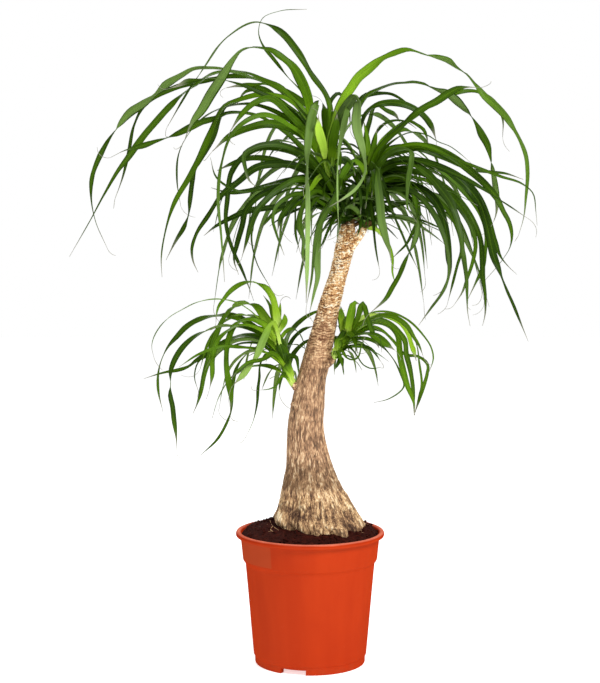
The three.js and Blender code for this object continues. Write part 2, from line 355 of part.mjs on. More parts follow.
let state = SEED;
function draw(low, high) {
  state = (state * 16807) % 2147483647;
  return low + ((high - low) * state) / 2147483647;
}

function solid(points, faces) {
  const made = new wasm.Manifold(
    new wasm.Mesh({
      numProp: 3,
      vertProperties: new Float32Array(points.flat()),
      triVerts: new Uint32Array(faces.flat()),
    }),
  );
  return made;
}

// Six times the volume between a centre and a triangle.
const wedge = (c, a, b, d) => dot(sub(a, c), cross(sub(b, c), sub(d, c)));

const middleOf = (points) => mul(points.reduce(add), 1 / points.length);

// A closed tube through rings of equal count.
// Each side is folded outwards, so a twisted tube never crosses itself.
function loft(given) {
  const [start, next] = [middleOf(given[0]), middleOf(given[1])];
  const spin = wedge(start, given[0][0], given[0][1], next);
  const rings = spin > 0 ? given : given.map((ring) => [...ring].reverse());
  const n = rings[0].length;
  const points = rings.flat();
  const faces = [];
  for (let k = 0; k + 1 < rings.length; k++) {
    const middle = middleOf([...rings[k], ...rings[k + 1]]);
    for (let i = 0; i < n; i++) {
      const j = (i + 1) % n;
      const [a, b, c, d] = [k * n + i, k * n + j, (k + 1) * n + j, (k + 1) * n + i];
      const [pa, pb, pc, pd] = [a, b, c, d].map((v) => points[v]);
      const one = wedge(middle, pa, pb, pc) + wedge(middle, pa, pc, pd);
      const other = wedge(middle, pa, pb, pd) + wedge(middle, pb, pc, pd);
      if (one >= other) faces.push([a, b, c], [a, c, d]);
      else faces.push([a, b, d], [b, c, d]);
    }
  }
  const top = (rings.length - 1) * n;
  for (let i = 1; i + 1 < n; i++) {
    faces.push([0, i + 1, i], [top, top + i, top + i + 1]);
  }
  return solid(points, faces);
}

// A profile from axis to axis, given as radius and height, turned round the z axis.
function revolve(profile, sides, lift = () => 0) {
  const inner = profile.slice(1, -1);
  const points = inner.flatMap(([r, z]) =>
    Array.from({ length: sides }, (_, i) => {
      const a = (2 * Math.PI * i) / sides;
      const [x, y] = [r * Math.cos(a), r * Math.sin(a)];
      return [x, y, z + lift(x, y, z)];
    }),
  );
  const [foot, head] = [points.length, points.length + 1];
  const ends = [profile[0][1], profile.at(-1)[1]];
  points.push([0, 0, ends[0] + lift(0, 0, ends[0])], [0, 0, ends[1] + lift(0, 0, ends[1])]);
  const faces = [];
  for (let i = 0; i < sides; i++) {
    const j = (i + 1) % sides;
    for (let k = 0; k + 1 < inner.length; k++) {
      const [a, b, c, d] = [k * sides + i, k * sides + j, (k + 1) * sides + j, (k + 1) * sides + i];
      faces.push([a, b, c], [a, c, d]);
    }
    const last = (inner.length - 1) * sides;
    faces.push([foot, j, i], [head, last + i, last + j]);
  }
  return solid(points, faces);
}

function ofGeometry(geometry) {
  geometry.deleteAttribute("normal");
  geometry.deleteAttribute("uv");
  const merged = mergeVertices(geometry, 1e-4);
  return new wasm.Manifold(
    new wasm.Mesh({
      numProp: 3,
      vertProperties: merged.attributes.position.array,
      triVerts: new Uint32Array(merged.index.array),
    }),
  );
}

function makePot() {
  let pot = revolve(POT_PROFILE, POT_SIDES);
  const foot = (POT_PROFILE[4][0] + POT_PROFILE[5][0]) / 2;
  for (let i = 0; i < NOTCHES; i++) {
    const a = NOTCH.turn + (2 * Math.PI * i) / NOTCHES;
    const box = new THREE.BoxGeometry(16, NOTCH.width, 2 * NOTCH.height);
    box.rotateZ(a).translate(foot * Math.cos(a), foot * Math.sin(a), 0);
    pot = pot.subtract(ofGeometry(box));
  }
  for (let i = 0; i < DRAINS.count; i++) {
    const a = (2 * Math.PI * (i + 0.5)) / DRAINS.count;
    const hole = new THREE.CylinderGeometry(DRAINS.radius, DRAINS.radius, 4 * FLOOR_TOP, 8);
    hole.rotateX(Math.PI / 2).translate(DRAINS.ring * Math.cos(a), DRAINS.ring * Math.sin(a), 0);
    pot = pot.subtract(ofGeometry(hole));
  }
  return pot;
}

// The bark as one body; grown by a little it cuts the hole that the trunk stands in.
function makeTrunk(grow) {
  const rows = TRUNK.map((row) => [...row]);
  rows[0][0] -= grow;
  rows.at(-1)[0] += grow;
  const rings = rows.map(([z, x, r, deep]) =>
    Array.from({ length: TRUNK_SIDES }, (_, i) => {
      const a = (2 * Math.PI * i) / TRUNK_SIDES;
      const wave = FURROWS.reduce((s, [n, phase, share]) => s + share * Math.cos(n * a + phase), 0);
      const out = r * (1 + deep * wave) + grow;
      return [x + out * Math.cos(a), out * Math.sin(a), z];
    }),
  );
  return wasm.Manifold.union([loft(rings), ...BRANCHES.map((b) => loft(tube(b, BRANCH_SIDES, grow)))]);
}

// Rings square to the line through points that carry a radius.
function tube(line, sides, grow = 0) {
  return line.map((p, i) => {
    const way = unit(sub(line[Math.min(i + 1, line.length - 1)], line[Math.max(i - 1, 0)]));
    const u = unit(cross(way, [0, 1, 0]));
    const v = cross(way, u);
    const end = i === 0 ? -grow : i === line.length - 1 ? grow : 0;
    return Array.from({ length: sides }, (_, k) => {
      const a = (2 * Math.PI * k) / sides;
      const r = p[3] + grow;
      return add(add(p, mul(way, end)), add(mul(u, r * Math.cos(a)), mul(v, r * Math.sin(a))));
    });
  });
}

// Peat with a slightly uneven mound, higher at the back.
function makeSoil() {
  const profile = [[0, SOIL_WALL[0][1]], ...SOIL_WALL, ...SOIL_MOUND];
  const level = SOIL_WALL.at(-1)[1];
  const lift = (x, y, z) =>
    z > level ? SOIL_BUMP * Math.sin(x / 9 + 1) * Math.cos(y / 8 - 0.5) + SOIL_TILT * y : 0;
  return revolve(profile, SOIL_SIDES, lift);
}

// A place part of the way up a line of points, each number mixed evenly.
function along(line, share) {
  const at = share * (line.length - 1);
  const i = Math.min(Math.floor(at), line.length - 2);
  return mix(line[i], line[i + 1], at - i);
}

const tangents = (points) =>
  points.map((_, i) =>
    unit(sub(points[Math.min(i + 1, points.length - 1)], points[Math.max(i - 1, 0)])),
  );

function runs(points) {
  const run = [0];
  for (let i = 1; i < points.length; i++) run.push(run[i - 1] + length(sub(points[i], points[i - 1])));
  return run;
}

function widths(points, full, shown) {
  const run = runs(points);
  return points.map((_, i) => {
    if (i === 0) return full * ROOT_SHARE;
    const taper = TIP_SHARE + (1 - TIP_SHARE) * (1 - (run[i] / run.at(-1)) ** TAPER);
    return Math.max(SLIM * Math.max(full * taper, Math.abs(shown[i])), TIP_WIDTH);
  });
}

function seenLeaf([head, up, depth, full, flat]) {
  const root = along(HEADS[head], up);
  const flatRun = [0];
  let last = [root[0], root[2]];
  for (let i = 0; i < flat.length; i += 3) {
    flatRun.push(flatRun.at(-1) + Math.hypot(flat[i] - last[0], flat[i + 1] - last[1]));
    last = [flat[i], flat[i + 1]];
  }
  const points = [root.slice(0, 3)];
  const shown = [flat[2]];
  for (let i = 0; i < flat.length; i += 3) {
    const u = flatRun[i / 3 + 1] / flatRun.at(-1);
    const y = root[1] + depth * Math.sin((Math.PI / 2) * u);
    const k = 1 - y / EYE[1];
    points.push([EYE[0] + (flat[i] - EYE[0]) * k, y, EYE[2] + (flat[i + 1] - EYE[2]) * k]);
    shown.push(flat[i + 2]);
  }
  const wide = widths(points, full, shown);
  const ways = tangents(points);
  const turn = points.at(-1)[0] < points[0][0] ? 1 : -1;
  const side = points.map((p, i) => {
    const face = unit(cross(unit(sub(p, EYE)), ways[i]));
    const edge = cross(ways[i], face);
    const c = Math.max(-1, Math.min(1, (SLIM * shown[i]) / wide[i]));
    return add(mul(face, c), mul(edge, turn * Math.sqrt(1 - c * c)));
  });
  return { head, points, wide, side, ways };
}

function fillLeaf({ head, up, compass, curl, long, slope, droop, full, twist, phase }) {
  const points = [along(HEADS[head], up).slice(0, 3)];
  for (let k = 0; k < FILL_STEPS; k++) {
    const s = (k + 0.5) / FILL_STEPS;
    const rise = radians(slope + (droop - slope) * Math.sin((Math.PI / 2) * s) ** 1.3);
    const a = radians(compass + curl * s * s);
    const step = long / FILL_STEPS;
    points.push(add(points[k], [
      step * Math.cos(rise) * Math.cos(a), step * Math.cos(rise) * Math.sin(a),
      step * Math.sin(rise),
    ]));
  }
  const ways = tangents(points);
  let level = cross(ways[0], [0, 0, 1]);
  const side = ways.map((way, i) => {
    level = unit(sub(level, mul(way, dot(level, way))));
    const t = radians(twist * Math.sin((2.2 * Math.PI * i) / FILL_STEPS + phase));
    return add(mul(level, Math.cos(t)), mul(cross(way, level), Math.sin(t)));
  });
  return { head, points, wide: widths(points, full, points.map(() => 0)), side, ways };
}

// How near two straight pieces come.
function gapBetween(p1, q1, p2, q2) {
  const [d1, d2, r] = [sub(q1, p1), sub(q2, p2), sub(p1, p2)];
  const [a, e, f, c, b] = [dot(d1, d1), dot(d2, d2), dot(d2, r), dot(d1, r), dot(d1, d2)];
  const clamp = (v) => Math.max(0, Math.min(1, v));
  const across = a * e - b * b;
  let s = across > 1e-9 ? clamp((b * f - c * e) / across) : 0;
  let t = (b * s + f) / e;
  if (t < 0) [s, t] = [clamp(-c / a), 0];
  else if (t > 1) [s, t] = [clamp((b - c) / a), 1];
  return length(sub(add(p1, mul(d1, s)), add(p2, mul(d2, t))));
}

const TRUNK_LINE = TRUNK.map(([z, x, r, deep]) => [x, 0, z, r * (1 + deep)]);

// Whether a leaf stays off the trunk and off the leaves of other nodes.
function clearOf(leaf, others) {
  const run = runs(leaf.points);
  for (let i = 1; i + 1 < leaf.points.length; i++) {
    const [p, q] = [leaf.points[i], leaf.points[i + 1]];
    const half = Math.max(leaf.wide[i], leaf.wide[i + 1]) / 2 + CLEAR;
    if (run[i] > ROOT_FREE) {
      for (let k = 0; k + 1 < TRUNK_LINE.length; k++) {
        const [a, b] = [TRUNK_LINE[k], TRUNK_LINE[k + 1]];
        if (gapBetween(p, q, a, b) < half + Math.max(a[3], b[3])) return false;
      }
    }
    for (const o of others) {
      for (let k = 0; k + 1 < o.points.length; k++) {
        const room = half + Math.max(o.wide[k], o.wide[k + 1]) / 2;
        if (gapBetween(p, q, o.points[k], o.points[k + 1]) < room) return false;
      }
    }
  }
  return true;
}

// 0, 1, -1, 2, -2 and so on.
const swing = (n) => (n % 2 ? (n + 1) / 2 : -n / 2);

function place(make, others, what) {
  for (let n = 0; n < TRIES; n++) {
    const leaf = make(swing(n));
    if (clearOf(leaf, others)) return leaf;
  }
  throw new Error("no room for " + what);
}

function makeLeaves() {
  const nodes = {};
  for (const [node, heads] of Object.entries(NODES)) {
    const others = Object.values(nodes).flat();
    const leaves = SEEN.filter(([head]) => heads.includes(head)).map((row, i) =>
      place(
        (n) => seenLeaf([row[0], row[1], row[2] + TRY_DEPTH * n, row[3], row[4]]),
        others, node + " seen " + i,
      ),
    );
    for (const [head, count, from, to, longs, slopes, droop] of FILL) {
      if (!heads.includes(head)) continue;
      for (let i = 0; i < count; i++) {
        const age = (i * GOLDEN) % 1;
        const rule = {
          head, droop, up: 0.12 + 0.83 * age,
          compass: from + ((to - from) * (i + draw(0.2, 0.8))) / count,
          curl: draw(-FILL_CURL, FILL_CURL), long: draw(...longs),
          slope: slopes[0] + (slopes[1] - slopes[0]) * age,
          full: draw(...FILL_WIDTH), twist: draw(-FILL_TWIST, FILL_TWIST), phase: draw(0, 6),
        };
        leaves.push(
          place((n) => fillLeaf({ ...rule, compass: rule.compass + TRY_TURN * n }), others,
            node + " fill " + i),
        );
      }
    }
    nodes[node] = leaves;
  }
  return nodes;
}

function blade({ points, wide, side, ways }) {
  return loft(points.map((p, i) => {
    const above = cross(side[i], ways[i]);
    const half = mul(side[i], wide[i] / 2);
    const keel = mul(above, -(KEEL + KEEL_BY_WIDTH * wide[i]));
    return [sub(p, half), add(p, keel), add(p, half)];
  }));
}

// The biggest closed body of a fused head, with any sealed hollow filled.
function whole(made) {
  return made.decompose().reduce((a, b) => (a.volume() > b.volume() ? a : b));
}

const group = new THREE.Group();
function keep(name, made, color, roughness) {
  const mesh = made.getMesh();
  const geometry = new THREE.BufferGeometry()
    .setAttribute("position", new THREE.BufferAttribute(mesh.vertProperties, 3))
    .setIndex(new THREE.BufferAttribute(mesh.triVerts, 1));
  geometry.computeVertexNormals();
  const piece = new THREE.Mesh(geometry, new THREE.MeshStandardMaterial({ color, roughness }));
  piece.name = name;
  group.add(piece);
}

const room = makeTrunk(GAP);
keep("pot", makePot(), 0xd64020, 0.35);
keep("soil", makeSoil().subtract(room), 0x3a2216, 0.95);
keep("trunk", makeTrunk(0), 0xa98555, 0.9);
const GREENS = { crown: 0x3f7a20, left_shoot: 0x4c8a26, right_shoot: 0x468424 };
for (const [node, leaves] of Object.entries(makeLeaves())) {
  const cores = NODES[node].map((head) => loft(tube(HEADS[head], CORE_SIDES)));
  const head = wasm.Manifold.union([...cores, ...leaves.map(blade)]);
  keep(node, whole(head.subtract(room)), GREENS[node], 0.6);
}

export default group;
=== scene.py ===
"""Looks for a ponytail palm in a nursery pot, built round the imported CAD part.

The leaf tables and rules repeat those of part.mjs, in its millimetres, so that each finer leaf
lies where its solid does. Front is -y. Meshes are made in millimetres and stored in metres.
Slopes, twists and compass places of leaves are in degrees, and angles round the pot and the trunk
are in radians.
"""

import itertools
import math

import bpy
import numpy as np
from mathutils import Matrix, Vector


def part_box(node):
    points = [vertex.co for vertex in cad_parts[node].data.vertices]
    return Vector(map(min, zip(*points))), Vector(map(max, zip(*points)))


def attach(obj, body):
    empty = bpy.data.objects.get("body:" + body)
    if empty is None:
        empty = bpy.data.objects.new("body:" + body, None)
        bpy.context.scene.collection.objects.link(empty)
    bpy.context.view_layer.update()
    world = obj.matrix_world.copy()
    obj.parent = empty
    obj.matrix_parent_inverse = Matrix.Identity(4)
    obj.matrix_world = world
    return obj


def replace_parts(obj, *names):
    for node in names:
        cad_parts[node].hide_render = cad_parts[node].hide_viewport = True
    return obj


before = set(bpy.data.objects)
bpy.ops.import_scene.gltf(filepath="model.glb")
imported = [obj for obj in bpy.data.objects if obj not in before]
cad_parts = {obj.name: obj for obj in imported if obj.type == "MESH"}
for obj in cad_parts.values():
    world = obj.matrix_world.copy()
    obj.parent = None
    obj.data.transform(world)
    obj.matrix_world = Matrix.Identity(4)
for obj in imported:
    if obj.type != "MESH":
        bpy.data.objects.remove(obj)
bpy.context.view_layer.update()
MM = 0.001

# View and light.
camera = bpy.data.objects.new("camera", bpy.data.cameras.new("camera"))
bpy.context.scene.collection.objects.link(camera)
camera.data.lens = 86.0
camera.data.sensor_width = 36.0
camera.data.clip_end = 30.0
camera.location = (-0.015, -2.4, 0.68)
AIM = Vector((-0.015, 0.0, 0.48))
camera.rotation_euler = (AIM - camera.location).to_track_quat("-Z", "Y").to_euler()
bpy.context.scene.camera = camera


def softbox(name, place, aim, size, watts):
    light = bpy.data.lights.new(name, "AREA")
    light.shape = "RECTANGLE"
    light.size, light.size_y = size
    light.energy = watts
    holder = bpy.data.objects.new(name, light)
    holder.location = place
    holder.rotation_euler = (Vector(aim) - Vector(place)).to_track_quat("-Z", "Y").to_euler()
    bpy.context.scene.collection.objects.link(holder)


softbox("key", (1.3, -1.7, 2.2), (0.0, 0.0, 0.45), (0.9, 0.9), 70)
softbox("front", (-1.1, -2.4, 1.0), (0.0, 0.0, 0.5), (1.2, 1.6), 10)
softbox("back", (-0.7, 1.8, 2.1), (0.0, 0.0, 0.7), (1.4, 1.0), 24)

# The studio looks white, and lights the plant more softly than it looks.
STUDIO_LIGHT, STUDIO_LOOK = 0.42, 1.0
world = bpy.data.worlds.new("studio")
bpy.context.scene.world = world
world.use_nodes = True
sky = world.node_tree
soft, bright = sky.nodes["Background"], sky.nodes.new("ShaderNodeBackground")
ray, choice = sky.nodes.new("ShaderNodeLightPath"), sky.nodes.new("ShaderNodeMixShader")
for light, strength in ((soft, STUDIO_LIGHT), (bright, STUDIO_LOOK)):
    light.inputs["Color"].default_value = (1.0, 1.0, 1.0, 1.0)
    light.inputs["Strength"].default_value = strength
sky.links.new(ray.outputs["Is Camera Ray"], choice.inputs["Fac"])
sky.links.new(soft.outputs[0], choice.inputs[1])
sky.links.new(bright.outputs[0], choice.inputs[2])
sky.links.new(choice.outputs[0], sky.nodes["World Output"].inputs["Surface"])
bpy.context.scene.view_settings.view_transform = "Standard"

# The tables and measures below are those of part.mjs.
# The trunk from its foot up: height, place across, radius and furrow depth.
TRUNK = [
    [150, 9, 38, 0.02], [172, 9.5, 53, 0.07], [190, 11, 61, 0.11], [204, 12.5, 65, 0.12],
    [216, 9, 64.6, 0.11], [228, 8.5, 58.7, 0.09], [246, 6, 51, 0.07], [270, 1, 42.5, 0.05],
    [290, -0.8, 36, 0.045], [320, -4.7, 30.3, 0.035], [350, -7, 27, 0.03], [388, -3.7, 24.3, 0.03],
    [423, 1.5, 21.6, 0.03], [447, 7.4, 21.1, 0.03], [470, 12.8, 19.8, 0.025],
    [500, 20.2, 17.7, 0.025], [530, 27.3, 16.2, 0.02], [560, 35.6, 14.6, 0.02],
    [585, 42.8, 13.6, 0.02], [604, 47.5, 13.9, 0.02], [620, 51, 14.4, 0.02], [634, 53.3, 13, 0.02],
    [646, 54.8, 11, 0.02], [657, 56.3, 8.5, 0.02], [664, 57, 4, 0.02],
]
# The furrows round it: how many, their phase and their share.
FURROWS = [[5, 1, 0.45], [8, 2.4, 0.35], [13, 0.6, 0.2]]
# Side growths, and the cores of the heads: place across, place back, height and radius of each point.
BRANCHES = [
    [[52, 0, 606, 6], [61, 0, 622, 7.5], [70, 0, 634, 6.8], [80, 0, 649, 5.6]],
    [[-2, -2, 405, 8], [-15, -3, 410, 8], [-22, -4, 415, 6.5], [-26, -4, 420, 4.2]],
    [[12, -4, 440, 7], [24, -7, 449, 8], [31, -8, 454, 6.5], [35, -8, 459, 4.2]],
    [[-12, -6, 386, 7], [-24, -9, 388, 5], [-29, -10, 388, 2.5]],
]
HEADS = {
    "main": [
        [56, 0, 648, 9], [53, 0, 658, 13], [49, 0, 670, 17], [41, 0, 692, 17], [32, 0, 722, 14],
        [25, 0, 748, 6],
    ],
    "right": [
        [78, 0, 645, 7], [79, 0, 654, 11], [80, 0, 666, 14.5], [82, 0, 684, 16], [85, 0, 708, 12],
        [88, 0, 730, 5],
    ],
    "left": [
        [-25, -4, 415, 5.5], [-29, -4, 426, 8], [-34, -4, 441, 10], [-39, -4, 457, 11.5],
        [-44, -4, 475, 10], [-48, -4, 492, 5],
    ],
    "low": [
        [34, -8, 455, 5.5], [37, -8, 462, 7.5], [42, -8, 473, 9.5], [46, -8, 485, 8.5],
        [50, -8, 497, 4],
    ],
}
NODES = {"crown": ["main", "right"], "left_shoot": ["left"], "right_shoot": ["low"]}
